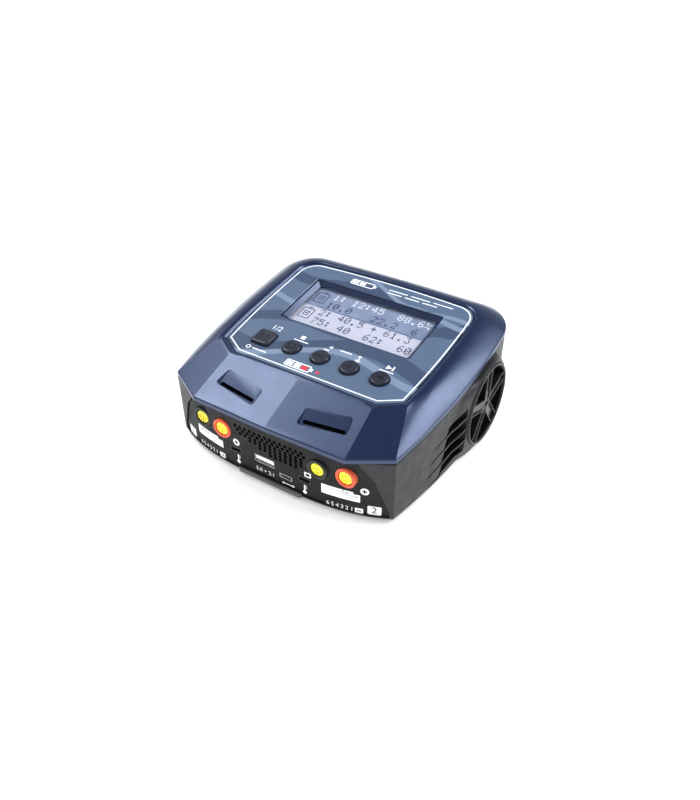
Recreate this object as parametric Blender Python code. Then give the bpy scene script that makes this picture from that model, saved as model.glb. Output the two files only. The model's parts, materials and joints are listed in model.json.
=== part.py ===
"""Two-channel balance battery charger: a wedge-shaped case with a tilted control face.

Lengths are millimetres until a mesh is stored, when they become metres.
X runs to the right, the sockets face -Y, and Z is up.  The origin is the centre of the
object's footprint, on the surface that its feet stand on.
"""

import math

import bmesh
import bpy
from mathutils import Matrix, Vector

for startup_object in list(bpy.data.objects):
    bpy.data.objects.remove(startup_object)

MM = 0.001
GAP = 0.3

# Case: the seam, the cover's lip and the control face are parallel planes that rise to the rear.
FRONT_Y = -68.35
REAR_Y = 68.35
CORNER = (66.5, -56.1)
KINK = (45.5, -67.4)
SIDE_X = 73.5
SIDE_Y = 15.0
RISE = 0.1363
SEAM_Z = 38.0
LIP_Z = 41.0
FACE_Z = 47.0
FLOOR_Z = 2.0
FLOOR_THICK = 1.6
WALL = 2.2
FRONT_BOW = 11.2
FRONT_POWER = 3.2
BASE_FRONT_Y = -67.4
PANEL_FACE_Y = -66.6
PANEL_THICK = 2.0
PANEL_LOW = FLOOR_Z + FLOOR_THICK + GAP
PANEL_HIGH = 35.9
PANEL_SHOULDER = 49.4
PANEL_ENDS = ((64.3, 6.9), (57.6, 26.0))

# Control face: a shallow recess that holds the printed overlay, the display and the buttons.
RECESS_DEPTH = 0.8
CEILING_DEPTH = 3.2
BUTTON_Y = -19.4
BUTTON_PITCH = 17.8
BUTTON_RADIUS = 4.9
BUTTON_STEPS = 20
SQUARE_HALF = 5.4
SQUARE_CHAMFER = 1.6
BUTTON_PROUD = 1.8
STEM_RADIUS = 1.6
FLANGE_RADIUS = 6.2
WINDOW_HALF = 40.7
WINDOW_Y = (0.9, 39.6)

# Front panel: sockets of the two channels, each with a negative socket on the left.
SOCKET_Z = 25.0
SOCKETS = {"a_negative": -44.0, "a_positive": -29.3, "b_negative": 29.3, "b_positive": 44.0}
SOCKET_RADIUS = 5.6
SOCKET_PROUD = 1.1
HEADER_X = 40.8
HEADER_Z = 13.5
HEADER_SIZE = (19.9, 6.0, 8.0)
HEADER_STEP = 1.3
HEADER_NOTCH = 3.3
USB_X = -3.2
USB_Z = 14.9
MICRO_X = 10.2
MICRO_Z = 10.9
TEMP_X = 21.5
TEMP_Z = 14.3

# Round grilles in the side walls, and the fan behind the right one.
WHEEL_Y = 25.5
WHEEL_Z = 24.7
WHEEL_R = 24.0
WHEEL_BORE = 23.2
WHEEL_SEAT = 69.6
WHEEL_FACE = 77.0
SPOKE_HALF = 3.2
FAN_X = (58.4, 68.4)
FAN_HALF = 20.0
FAN_HOLE_HALF = 16.0
FAN_BORE = 18.7
FAN_BLADES = 7

# Rear panel inlets.
REAR_HALF = 49.7
REAR_Z = (6.3, 41.7)
REAR_FACE_Y = 67.0
MAINS = (-27.0, 23.0)
DC = (27.0, 23.0)

BOARD_TOP = 9.1
SCREWS = [(57.5, -45.0), (57.5, 55.0)]
FEET = [(48.0, -51.0), (48.0, 49.0)]
SPLIT_Z = 20.0

TILT = math.atan(RISE)
FACE_FRAME = Matrix.Translation((0, CORNER[1], FACE_Z)) @ Matrix.Rotation(TILT, 4, "X")


def rising(height):
    """Height at y of a plane parallel to the control face, given its height at the front corner."""
    return lambda y: height + (y - CORNER[1]) * RISE


def on_face(y):
    """Distance up the control face of the point above y."""
    return (y - CORNER[1]) / math.cos(TILT)


# ---------------------------------------------------------------- materials and objects


def material(name, colour, roughness, metallic=0.0, transmission=0.0):
    made = bpy.data.materials.new(name)
    made.use_nodes = True
    shader = made.node_tree.nodes["Principled BSDF"]
    shader.inputs["Base Color"].default_value = (*colour, 1)
    shader.inputs["Roughness"].default_value = roughness
    shader.inputs["Metallic"].default_value = metallic
    shader.inputs["Transmission Weight"].default_value = transmission
    made.diffuse_color = (*colour, 1)
    return made


COLOURS = {
    "cover_paint": ((0.06, 0.08, 0.18), 0.32, 0.6),
    "case_plastic": ((0.02, 0.02, 0.022), 0.55),
    "overlay_film": ((0.14, 0.2, 0.32), 0.4),
    "button_plastic": ((0.03, 0.04, 0.09), 0.3),
    "clear_window": ((0.8, 0.85, 0.9), 0.05, 0.0, 0.9),
    "lcd": ((0.5, 0.52, 0.66), 0.2),
    "circuit_board": ((0.02, 0.14, 0.06), 0.45),
    "steel": ((0.6, 0.6, 0.62), 0.3, 1.0),
    "gold": ((0.95, 0.78, 0.12), 0.25, 1.0),
    "red_plastic": ((0.7, 0.1, 0.05), 0.35),
    "white_nylon": ((0.85, 0.85, 0.83), 0.45),
    "rubber": ((0.02, 0.02, 0.02), 0.85),
    "ferrite": ((0.07, 0.07, 0.075), 0.6),
    "winding": ((0.6, 0.42, 0.06), 0.5),
    "aluminium": ((0.75, 0.76, 0.78), 0.35, 1.0),
    "capacitor_sleeve": ((0.03, 0.04, 0.12), 0.35),
}
MATERIALS = {name: material(name, *values) for name, values in COLOURS.items()}


def stored(name, bm, finish=None, pivot=(0, 0, 0)):
    """Object with the bmesh's shape, in metres, and its origin at the pivot."""
    bmesh.ops.recalc_face_normals(bm, faces=bm.faces)
    pivot = Vector(pivot)
    bm.transform(Matrix.Scale(MM, 4) @ Matrix.Translation(-pivot))
    mesh = bpy.data.meshes.new(name)
    bm.to_mesh(mesh)
    bm.free()
    made = bpy.data.objects.new(name, mesh)
    made.location = pivot * MM
    bpy.context.scene.collection.objects.link(made)
    if finish:
        finished(made, finish)
    return made


def finished(made, finish):
    made.data.materials.clear()
    made.data.materials.append(MATERIALS[finish])
    made.data.shade_smooth()
    made.data.set_sharp_from_angle(angle=math.radians(28))
    return made


def combined(target, operation, *tools):
    """Boolean of the target with each tool in turn.  The tools are used up."""
    for other in tools:
        modifier = target.modifiers.new("Boolean", "BOOLEAN")
        modifier.operation = operation
        modifier.object = other
    bpy.context.view_layer.update()
    graph = bpy.context.evaluated_depsgraph_get()
    mesh = bpy.data.meshes.new_from_object(target.evaluated_get(graph))
    target.modifiers.clear()
    target.data = mesh
    for other in tools:
        bpy.data.objects.remove(other)
    return target


def cut(target, *tools):
    return combined(target, "DIFFERENCE", *tools)


def joined(target, *tools):
    return combined(target, "UNION", *tools)


def tool(*shapes):
    """One helper object from several shapes that don't touch one another."""
    merged = bmesh.new()
    for shape in shapes:
        bmesh.ops.recalc_face_normals(shape, faces=shape.faces)
        mesh = bpy.data.meshes.new("helper")
        shape.to_mesh(mesh)
        shape.free()
        merged.from_mesh(mesh)
        bpy.data.meshes.remove(mesh)
    return stored("helper", merged)


# ---------------------------------------------------------------- shapes, all in millimetres


def ring_loft(rings):
    """Closed solid through rings of equal length, with both ends capped."""
    bm = bmesh.new()
    made = [[bm.verts.new(point) for point in ring] for ring in rings]
    for low, high in zip(made, made[1:]):
        for i in range(len(low)):
            j = (i + 1) % len(low)
            bm.faces.new((low[i], low[j], high[j], high[i]))
    bm.faces.new(made[0])
    bm.faces.new(made[-1])
    return bm


def prism(outline, low, high):
    """Plan outline between two heights; a height is a number or a function of y."""

    def at(height, y):
        return height(y) if callable(height) else height

    return ring_loft([[(x, y, at(h, y)) for x, y in outline] for h in (low, high)])


def box(x, y, z):
    outline = [(x[0], y[0]), (x[1], y[0]), (x[1], y[1]), (x[0], y[1])]
    return prism(outline, *z)


def block(centre, size):
    return box(*[(c - s / 2, c + s / 2) for c, s in zip(centre, size)])


AXES = {
    "X": Matrix(((0, 0, 1), (1, 0, 0), (0, 1, 0))).to_4x4(),
    "Y": Matrix(((1, 0, 0), (0, 0, -1), (0, 1, 0))).to_4x4(),
    "Z": Matrix.Identity(4),
}


def placed(bm, centre, axis="Z"):
    """Shape drawn about the origin along local Z, turned to an axis and moved to its centre.

    Axis "Y" sends local Z to world -Y, so a shape's far end points out of the front panel.
    """
    bm.transform(Matrix.Translation(centre) @ AXES[axis])
    return bm


def on_control_face(bm):
    """Shape drawn as (x, distance up the face, height above the face)."""
    bm.transform(FACE_FRAME)
    return bm


def turned(profile, steps=32, closed=False):
    """Solid of revolution about Z from (radius, z) points; closed for a ring."""
    bm = bmesh.new()
    loops = []
    for radius, z in profile:
        count = steps if radius > 0 else 1
        angles = [math.tau * i / steps for i in range(count)]
        loops.append([bm.verts.new((radius * math.cos(a), radius * math.sin(a), z)) for a in angles])
    pairs = list(zip(loops, loops[1:] + loops[:1] if closed else loops[1:]))
    for low, high in pairs:
        for i in range(steps):
            j = (i + 1) % steps
            corners = [low[i % len(low)], low[j % len(low)], high[j % len(high)], high[i % len(high)]]
            bm.faces.new(list(dict.fromkeys(corners)))
    return bm


def rod(radius, low, high, steps=24):
    return prism(polygon(steps, radius), low, high)


def polygon(count, radius, turn=0.0, centre=(0.0, 0.0)):
    angles = [turn + math.tau * i / count for i in range(count)]
    return [(centre[0] + radius * math.cos(a), centre[1] + radius * math.sin(a)) for a in angles]


def chamfered(half, chamfer):
    """Square outline with cut corners."""
    low = half - chamfer
    return [(half, -low), (half, low), (low, half), (-low, half),
            (-half, low), (-half, -low), (-low, -half), (low, -half)]


def front_curve(x, centre_y):
    """Plan curve of the front: almost flat in the middle, swept back towards the corners."""
    return centre_y + FRONT_BOW * (abs(x) / CORNER[0]) ** FRONT_POWER


def mirrored_loop(half):
    """Closed outline from its right half, which runs from the front centre to the rear centre."""
    return half + [(-x, y) for x, y in reversed(half[1:-1])]


def plan(front, side, rear_x, radius, rear_y, bow=0.0):
    """Case-like outline: front points, a bowed side, a round rear corner and a rear edge."""
    corner_x, corner_y = front[-1]
    side_x, side_y = side
    arc_x, arc_y = rear_x - radius, rear_y - bow - radius
    half = list(front)
    for i in range(1, 10):
        y = corner_y + (arc_y - corner_y) * i / 10
        reach = corner_y if y < side_y else arc_y
        drop = side_x - (corner_x if y < side_y else rear_x)
        half.append((side_x - drop * ((y - side_y) / (reach - side_y)) ** 2, y))
    for i in range(8):
        angle = math.pi / 2 * i / 7
        half.append((arc_x + radius * math.cos(angle), arc_y + radius * math.sin(angle)))
    half.append((arc_x / 2, rear_y - bow / 4))
    half.append((0, rear_y))
    return mirrored_loop(half)


def inset(outline, distance):
    """Outline moved inwards by a distance, with mitred corners."""
    moved = []
    for i, point in enumerate(outline):
        here = Vector(point)
        before = (here - Vector(outline[i - 1])).normalized()
        after = (Vector(outline[(i + 1) % len(outline)]) - here).normalized()
        normals = [Vector((-edge.y, edge.x)) for edge in (before, after)]
        moved.append(tuple(here + (normals[0] + normals[1]) * distance / (1 + normals[0].dot(normals[1]))))
    return moved


def straight_front(*points):
    """Front points with two extra ones between the centre and the kink, and one before the corner."""
    centre, kink, corner = (Vector(p) for p in points)
    inner = [centre, centre.lerp(kink, 1 / 3), centre.lerp(kink, 2 / 3)]
    return [tuple(p) for p in [*inner, kink, kink.lerp(corner, 0.5), corner]]


FRONT_XS = [0, 0.25, 0.5, 0.7, 0.86, 1]
LIP = plan(straight_front((0, FRONT_Y), KINK, CORNER), (SIDE_X, SIDE_Y), 72.4, 21, REAR_Y, 0.6)
RIM = plan(straight_front((0, -38.0), (43.5, -38.8), (57.6, -30.2)), (58.4, 8), 57.8, 12, 55.6, 1.5)
RECESS_FRONT = straight_front((0, -35.3), (42.9, -35.3), (54.7, -28.1))
RECESS = plan(RECESS_FRONT, (56.2, 8), 56.2, 11, 53.6, 1.5)
BASE = plan(
    [(CORNER[0] * t, front_curve(CORNER[0] * t, BASE_FRONT_Y)) for t in FRONT_XS],
    (SIDE_X - 0.2, SIDE_Y), 72.2, 20.8, REAR_Y - 0.2, 0.6,
)
SLOT_DEPTH = 1.4
RIM_RISE_FRONT = 1.6
RIM_RISE_REAR = 0.8


def rim_height(y):
    """Top of the ridge around the recess, higher at the front corners than at the rear."""
    back = min(max((y + 30) / 80, 0), 1)
    return rising(FACE_Z)(y) + RIM_RISE_FRONT + (RIM_RISE_REAR - RIM_RISE_FRONT) * back


def slope_height(x, y):
    """Height of the cover's flat front slope."""
    share = abs(x) / KINK[0]
    lip_y = FRONT_Y + (KINK[1] - FRONT_Y) * share
    rim_y = -38.0 - 0.8 * share
    along = (y - lip_y) / (rim_y - lip_y)
    return rising(LIP_Z)(lip_y) * (1 - along) + rim_height(rim_y) * along


# ---------------------------------------------------------------- case


def cover_rings():
    """Outer and inner rings of the cover, from the outer lip over the face and back inside."""
    lip_top = inset(LIP, 0.5)
    fronts = len(FRONT_XS)
    power = []
    for i in range(len(LIP)):
        steps = min(i, len(LIP) - i)
        power.append(1.0 if steps < fronts else min(1.0 + 0.25 * (steps - fronts + 1), 1.7))
    rings = [[(x, y, rising(SEAM_Z + GAP)(y)) for x, y in LIP]]
    rings.append([(x, y, rising(LIP_Z - 0.8)(y)) for x, y in LIP])
    for share in (0, 0.2, 0.45, 0.72, 1):
        ring = []
        for (ax, ay), (bx, by), bend in zip(lip_top, RIM, power):
            low, high = rising(LIP_Z)(ay), rim_height(by)
            # A bulging side climbs fast near the lip and levels out at the rim.
            climb = 1 - (1 - share) ** bend
            ring.append((ax + (bx - ax) * share, ay + (by - ay) * share, low + (high - low) * climb))
        rings.append(ring)
    rings.append([(x, y, rising(FACE_Z - RECESS_DEPTH)(y)) for x, y in RECESS])
    base_inner = inset(BASE, WALL)
    inner = [
        [(x, y, rising(FACE_Z - CEILING_DEPTH)(y)) for x, y in inset(RIM, 1.0)],
        [(x, y, rising(LIP_Z - 2.4)(y)) for x, y in base_inner],
        [(x, y, rising(SEAM_Z + GAP)(y)) for x, y in base_inner],
    ]
    return rings, inner


def cover_blank():
    outer, inner = cover_rings()
    bm = bmesh.new()
    loops = [[bm.verts.new(point) for point in ring] for ring in outer[::-1] + inner[::-1]]
    for low, high in zip(loops, loops[1:]):
        for i in range(len(low)):
            j = (i + 1) % len(low)
            bm.faces.new((low[i], low[j], high[j], high[i]))
    bm.faces.new(loops[0])
    bm.faces.new(loops[-1])
    return stored("top_cover", bm)


def window_frustum(grow, low, high):
    """Tapered window opening between two heights over the face, narrower below."""
    rings = []
    for height in (low, high):
        taper = -height * 0.88 - grow
        half = WINDOW_HALF - taper
        front, back = on_face(WINDOW_Y[0] + taper), on_face(WINDOW_Y[1] - taper * 0.75)
        corners = [(half, front), (half, back), (-half, back), (-half, front)]
        rings.append([(*corner, height) for corner in corners])
    return on_control_face(ring_loft(rings))


def button_places():
    return [(BUTTON_PITCH * (i - 2), on_face(BUTTON_Y)) for i in range(5)]


def button_prisms(clearance, low, high):
    """Five button shapes on the control face: the first is square, the others are round."""
    shapes = []
    for i, (x, up) in enumerate(button_places()):
        if i == 0:
            half = SQUARE_HALF + clearance
            outline = chamfered(half, SQUARE_CHAMFER)
        else:
            outline = polygon(BUTTON_STEPS, BUTTON_RADIUS + clearance)
        shapes.append(on_control_face(prism([(x + px, up + py) for px, py in outline], low, high)))
    return shapes


def slope_scoops():
    """Cutters of the two hooded slots in the front slope: ramps first, then the slots."""
    ramps, slots = [], []
    for side in (1, -1):
        ramp = [(13.6, -50.6), (37.4, -46.6), (38.2, -55.0), (15.4, -59.0)]
        depth = [0.0, 0.0, SLOT_DEPTH, SLOT_DEPTH]
        low = [(side * x, y, slope_height(x, y) - d) for (x, y), d in zip(ramp, depth)]
        high = [(side * x, y, 70) for x, y in ramp]
        ramps.append(ring_loft([low, high]))
        slot = [(15.8, -56.1), (37.5, -52.3), (36.6, -55.6), (16.8, -58.9)]
        slots.append(ring_loft([[(side * x, y, z) for x, y in slot] for z in (30, 70)]))
    return tool(*ramps), tool(*slots)


def cover_posts(radius, low, tops):
    shapes = []
    for (x, y), top in zip(SCREWS, tops):
        for side in (1, -1):
            shapes.append(placed(rod(radius, low, top, 12), (side * x, y, 0)))
    return tool(*shapes)


def top_cover():
    cover = cover_blank()
    joined(cover, cover_posts(4.2, SPLIT_Z + GAP, (43.6, 58.5)))
    cut(cover, cover_posts(1.8, SPLIT_Z - 2, (29.0, 29.0)))
    openings = tool(window_frustum(0, -5.0, 1.0), *button_prisms(GAP, -6.0, 2.0))
    cut(cover, openings, *slope_scoops())
    finished(cover, "cover_paint")


def overlay_panel():
    outline = inset(RECESS, GAP)
    film = stored("overlay_panel", prism(outline, rising(FACE_Z - 0.5), rising(FACE_Z)))
    cut(film, tool(window_frustum(0.4, -2.0, 1.0), *button_prisms(0.5, -2.0, 2.0)))
    finished(film, "overlay_film")


def fascia_outline(grow):
    """Front panel outline (x, z), with cut upper corners and slanted ends."""
    low, high = PANEL_LOW - grow, PANEL_HIGH + grow
    half = [(PANEL_ENDS[0][0] + grow, low)]
    half += [(x + grow, z) for x, z in PANEL_ENDS]
    half += [(PANEL_SHOULDER + grow / 2, high)]
    return half + [(-x, z) for x, z in reversed(half)]


def facing_front(outline, near, far):
    """Prism of an (x, z) outline between two y values."""
    return ring_loft([[(x, y, z) for x, z in outline] for y in (near, far)])


def wheel_shape(shape, side):
    """Shape drawn about the wheel's axis, with local Z pointing out of the case."""
    if side < 0:
        bmesh.ops.transform(shape, matrix=Matrix.Scale(-1, 4, (0, 0, 1)), verts=shape.verts)
    return placed(shape, (0, WHEEL_Y, WHEEL_Z), "X")


def wheel_flare(side):
    """Swelling of a side wall up to the wheel: long towards the front, short towards the rear."""
    rings = []
    for height, share in ((71.4, 1.0), (72.1, 1.0), (74.8, 0.45), (75.8, 0.0)):
        ring = []
        for i in range(40):
            angle = math.tau * (i + 0.37) / 40
            reach = WHEEL_R + 0.3 + share * (1.0 + 11.0 * (1 - math.cos(angle)) / 2)
            ring.append((reach * math.cos(angle), reach * math.sin(angle), height))
        rings.append(ring)
    return wheel_shape(ring_loft(rings), side)


def side_slots(side):
    """Four raked louvre slots in a side wall, ahead of the wheel."""
    slots = []
    for low, rake in ((8.6, 1.4), (15.4, 2.3), (23.0, 3.6), (30.4, 3.0)):
        slope = rake / 21
        corners = [(-22.0, low - 22 * slope), (0.5, low), (-1.5, low + 4.2), (-22.5, low + 4.2 - 21 * slope)]
        slots.append(ring_loft([[(side * x, y, z) for y, z in corners] for x in (64, 80)]))
    return slots


def base_shell():
    inner = inset(BASE, WALL)
    top = rising(SEAM_Z)
    base = stored("base_shell", prism(BASE, FLOOR_Z, top))
    cut(base, tool(prism(inner, FLOOR_Z + FLOOR_THICK, rising(SEAM_Z + 20))))
    bosses = [wheel_shape(rod(WHEEL_R, WHEEL_SEAT - 0.6, 76.0, 44), side) for side in (1, -1)]
    flares = tool(wheel_flare(1), wheel_flare(-1))
    above = box((-90, 90), (-90, 90), (rising(SEAM_Z - 0.1), 90))
    below = box((-90, 90), (-90, 90), (-30, FLOOR_Z + 0.1))
    cut(flares, tool(above), tool(below))
    posts = []
    for side in (1, -1):
        for x, y in SCREWS:
            posts.append(placed(rod(4.2, FLOOR_Z + 1, SPLIT_Z, 12), (side * x, y, 0)))
        for y in (-40, 46):
            posts.append(placed(rod(3.0, FLOOR_Z + 1, BOARD_TOP - 1.6 - GAP, 8), (side * 40, y, 0)))
    joined(base, flares, tool(*bosses), tool(*posts))
    # Behind its seat for the grille, each bore narrows and so clears the floor.
    bore = [(0, 64), (WHEEL_BORE - 2.2, 64), (WHEEL_BORE - 2.2, WHEEL_SEAT), (WHEEL_BORE, WHEEL_SEAT),
            (WHEEL_BORE, 80), (0, 80)]
    bores = [wheel_shape(turned(bore, 44), side) for side in (1, -1)]
    wells, holes = [], []
    for side in (1, -1):
        for x, y in SCREWS:
            wells.append(placed(rod(3.3, 0, 5.2, 12), (side * x, y, 0)))
            holes.append(placed(rod(1.8, 4, 30, 12), (side * x, y, 0)))
        for x, y in FEET:
            wells.append(placed(rod(5.4, 0, FLOOR_Z + 0.8, 20), (side * x, y, 0)))
    cut(base, tool(*bores), tool(*wells), tool(*holes), tool(*side_slots(1), *side_slots(-1)))
    window = tool(facing_front(fascia_outline(GAP), -80, -50))
    rear = [(REAR_HALF + GAP, z) for z in (REAR_Z[0] - GAP, REAR_Z[1] + GAP)]
    rear += [(-x, z) for x, z in reversed(rear)]
    cut(base, window, tool(facing_front(rear, 60, 80)))
    sill = [(20.0, -67.0), (18.8, -68.2), (-18.8, -68.2), (-20.0, -67.0)]
    joined(base, tool(prism(sill, FLOOR_Z + 0.2, FLOOR_Z + 2.9)))
    finished(base, "case_plastic")


def front_panel():
    (end_x, end_z), (knee_x, knee_z) = PANEL_ENDS

    def top(x):
        if x > knee_x:
            return knee_z - (x - knee_x) * (knee_z - end_z) / (end_x - knee_x)
        return min(PANEL_HIGH, knee_z + (knee_x - x) * (PANEL_HIGH - knee_z) / (knee_x - PANEL_SHOULDER))

    columns = [end_x, 61.0, knee_x, 53.5, PANEL_SHOULDER, 40, 28, 14]
    rings = []
    for x in [-x for x in columns] + [0] + columns[::-1]:
        y, high = front_curve(x, PANEL_FACE_Y), top(abs(x))
        back = y + PANEL_THICK
        rings.append([(x, y, PANEL_LOW), (x, y, high), (x, back, high), (x, back, PANEL_LOW)])
    panel = stored("front_panel", ring_loft(rings))
    bore = SOCKET_RADIUS + GAP
    sockets = [placed(rod(bore, -10, 10, 20), (x, -64, SOCKET_Z), "Y") for x in SOCKETS.values()]
    ports = [
        block((USB_X, -64, USB_Z), (13.4, 20, 6.0)),
        block((MICRO_X, -64, MICRO_Z), (8.2, 20, 3.2)),
        *[block((s * HEADER_X, -64, HEADER_Z), (20.5, 20, 6.6)) for s in (1, -1)],
        *[block((s * TEMP_X, -64, TEMP_Z), (8.6, 20, 4.2)) for s in (1, -1)],
    ]
    cut(panel, tool(*sockets, *ports), tool(*vent_field()))
    finished(panel, "case_plastic")


def vent_field():
    """Staggered diamond vents in the middle of the front panel."""
    rows = [(-20.2, 21.6), (-18.4, 21.6), (-16.6, 20.9), (-7.6, 20.0), (1.4, 19.0)]
    vents = []
    for row, (left, right) in enumerate(rows):
        z = 30.9 - 2.5 * row
        x = left
        while x <= right:
            diamond = [(x + 1, z), (x, z + 1), (x - 1, z), (x, z - 1)]
            vents.append(facing_front(diamond, -72, -58))
            x += 3.6
    return vents


def rear_panel():
    z_mid, z_size = sum(REAR_Z) / 2, REAR_Z[1] - REAR_Z[0]
    panel = stored("rear_panel", block((0, REAR_FACE_Y - 0.8, z_mid), (2 * REAR_HALF, 1.6, z_size)))
    slots = [block((0, REAR_FACE_Y, 12 + 4 * i), (16, 10, 1.8)) for i in range(7)]
    inlets = [
        block((MAINS[0], REAR_FACE_Y, MAINS[1]), (27.6, 10, 20.6)),
        block((DC[0], REAR_FACE_Y, DC[1]), (16.6, 10, 8.8)),
    ]
    cut(panel, tool(*slots, *inlets))
    finished(panel, "case_plastic")


def feet_and_screws():
    for name, side in (("right", 1), ("left", -1)):
        for end, (x, y) in zip(("front", "rear"), FEET):
            foot = turned([(0, 0), (4.6, 0), (5.0, 0.5), (5.0, 2.5), (0, 2.5)], 20)
            stored(f"foot_{end}_{name}", placed(foot, (side * x, y, 0)), "rubber")
        for end, (x, y) in zip(("front", "rear"), SCREWS):
            # A socket head: the hexagonal drive opens downwards, through the well in the base.
            head = [(0, 3.8), (1.3, 3.8), (1.3, 2.5), (2.9, 2.5), (2.9, 4.9)]
            screw = turned([*head, (1.5, 4.9), (1.5, 28), (0, 28)], 12)
            stored(f"case_screw_{end}_{name}", placed(screw, (side * x, y, 0)), "steel")


# ---------------------------------------------------------------- grilles and fan


def spoke(turn):
    """Channel-shaped spoke: two ribs along its edges and a sunk floor between them."""
    half, rib, floor = SPOKE_HALF, 0.7, 73.7
    section = [(-half, 72.9), (-half, 76.0), (rib - half, 76.0), (rib - half, floor),
               (half - rib, floor), (half - rib, 76.0), (half, 76.0), (half, 72.9)]
    spin = Matrix.Rotation(turn, 3, "Z")
    ends = (4.0, WHEEL_BORE - 0.9)
    return ring_loft([[tuple(spin @ Vector((reach, *point))) for point in section] for reach in ends])


def hex_grid(pitch, reach):
    """Centres of a hexagonal grid inside a circle."""
    centres = []
    span = int(reach / pitch) + 2
    for row in range(-span, span + 1):
        for column in range(-span, span + 1):
            x = (column + 0.5 * (row % 2)) * pitch
            y = row * pitch * math.sqrt(3) / 2
            if math.hypot(x, y) < reach:
                centres.append((x, y))
    return centres


HUB = [(0, 76.2), (2.6, 76.0), (8.0, 73.9), (8.0, 72.9), (0, 72.9)]


def grilles():
    for name, side in (("right", 1), ("left", -1)):
        outer = WHEEL_BORE - GAP
        inner = outer - 1.1
        ring = [(inner, 71.4), (outer, 71.4), (outer, 76.2), (outer - 0.4, WHEEL_FACE), (inner, 76.6)]
        grille = stored(f"fan_grille_{name}", wheel_shape(turned(ring, 44, closed=True), side))
        spokes = [wheel_shape(spoke(math.tau * (i + 0.25) / 5), side) for i in range(5)]
        joined(grille, *[tool(one) for one in spokes])
        joined(grille, tool(wheel_shape(turned(HUB, 5), side)))
        finished(grille, "case_plastic")
        disc = stored(f"grille_mesh_{name}", wheel_shape(rod(inner - GAP, 71.6, 72.5, 36), side))
        cells = [polygon(6, 3.0, math.pi / 6, centre) for centre in hex_grid(7.4, 17.6)]
        cut(disc, tool(*[wheel_shape(prism(cell, 70, 76), side) for cell in cells]))
        finished(disc, "case_plastic")


def fan():
    low, high = FAN_X
    square = chamfered(FAN_HALF, 2.5)
    frame = stored("fan_frame", wheel_shape(prism(square, low, high), 1))
    corners = [(sx * FAN_HOLE_HALF, sy * FAN_HOLE_HALF) for sx in (1, -1) for sy in (1, -1)]
    bores = [prism(polygon(8, 1.75, 0, corner), low - 1, high + 1) for corner in corners]
    bores.append(rod(FAN_BORE, low - 1, high + 1, 32))
    cut(frame, tool(*[wheel_shape(shape, 1) for shape in bores]))
    bars = []
    for i in range(3):
        spin = Matrix.Rotation(math.tau * i / 3 + 0.5, 2)
        reach = FAN_BORE + 0.5
        outline = [tuple(spin @ Vector(p)) for p in ((6, -1), (reach, -1), (reach, 1), (6, 1))]
        bars.append(wheel_shape(prism(outline, low + 0.2, low + 1.8), 1))
    joined(frame, tool(*bars))
    seat = [(0, low), (7.5, low), (7.5, low + 2.0), (2.6, low + 2.0), (2.6, low + 7.0), (0, low + 7.0)]
    joined(frame, tool(wheel_shape(turned(seat, 16), 1)))
    finished(frame, "case_plastic")

    hub = [(0, 67.8), (8.2, 67.8), (8.8, 67.2), (8.8, 60.9), (3.0, 60.9), (3.0, 66.0), (0, 66.0)]
    pivot = (low + 5, WHEEL_Y, WHEEL_Z)
    rotor = stored("fan_rotor", wheel_shape(turned(hub, 24), 1), pivot=pivot)
    blades = [wheel_shape(fan_blade(math.tau * i / FAN_BLADES), 1) for i in range(FAN_BLADES)]
    joined(rotor, tool(*blades))
    finished(rotor, "case_plastic")


def fan_blade(turn):
    """Curved, pitched blade from inside the hub to near the frame's bore."""
    rings = []
    for radius, sweep, lean in ((7.8, 0.0, 3.4), (13.0, 0.16, 3.1), (18.1, 0.38, 2.6)):
        angle = turn + sweep
        half = 3.4 / radius
        ring = []
        for side, along in ((-1, -1), (1, 1), (1, 1.16), (-1, -0.84)):
            a = angle + half * along
            ring.append((radius * math.cos(a), radius * math.sin(a), 64.3 + lean * 0.86 * side))
        rings.append(ring)
    return ring_loft(rings)


# ---------------------------------------------------------------- control face parts


def display():
    """Window, LCD glass in its metal tray, and the board that carries them."""

    def slab(name, half, ys, zs, finish):
        shape = box((-half, half), (on_face(ys[0]), on_face(ys[1])), zs)
        return stored(name, on_control_face(shape), finish)

    slab("display_window", 42.0, (-0.6, 41.6), (-4.5, -3.5), "clear_window")
    slab("lcd_glass", 40.0, (1.6, 39.6), (-6.6, -4.8), "lcd")
    tray = slab("lcd_bezel", 42.0, (-0.6, 41.6), (-8.8, -4.8), None)
    pocket = box((-40.3, 40.3), (on_face(1.3), on_face(39.9)), (-6.9, -2))
    cut(tray, tool(on_control_face(pocket)))
    finished(tray, "steel")
    board = slab("display_board", 50.0, (-29.0, 43.0), (-10.9, -9.3), None)
    notch = [on_control_face(block((s * 48, on_face(-28), -10), (8, 4, 6))) for s in (1, -1)]
    cut(board, tool(*notch))
    finished(board, "circuit_board")


BUTTONS = ("channel_button", "stop_button", "decrease_button", "increase_button", "start_button")


def stepped(x, up, levels):
    """Closed solid through concentric outlines given as (outline, height)."""
    rings = [[(x + px, up + py, height) for px, py in outline] for outline, height in levels]
    return on_control_face(ring_loft(rings))


def square_outline(half):
    return chamfered(half, SQUARE_CHAMFER * half / SQUARE_HALF)


def round_outline(radius):
    return polygon(BUTTON_STEPS, radius)


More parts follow.
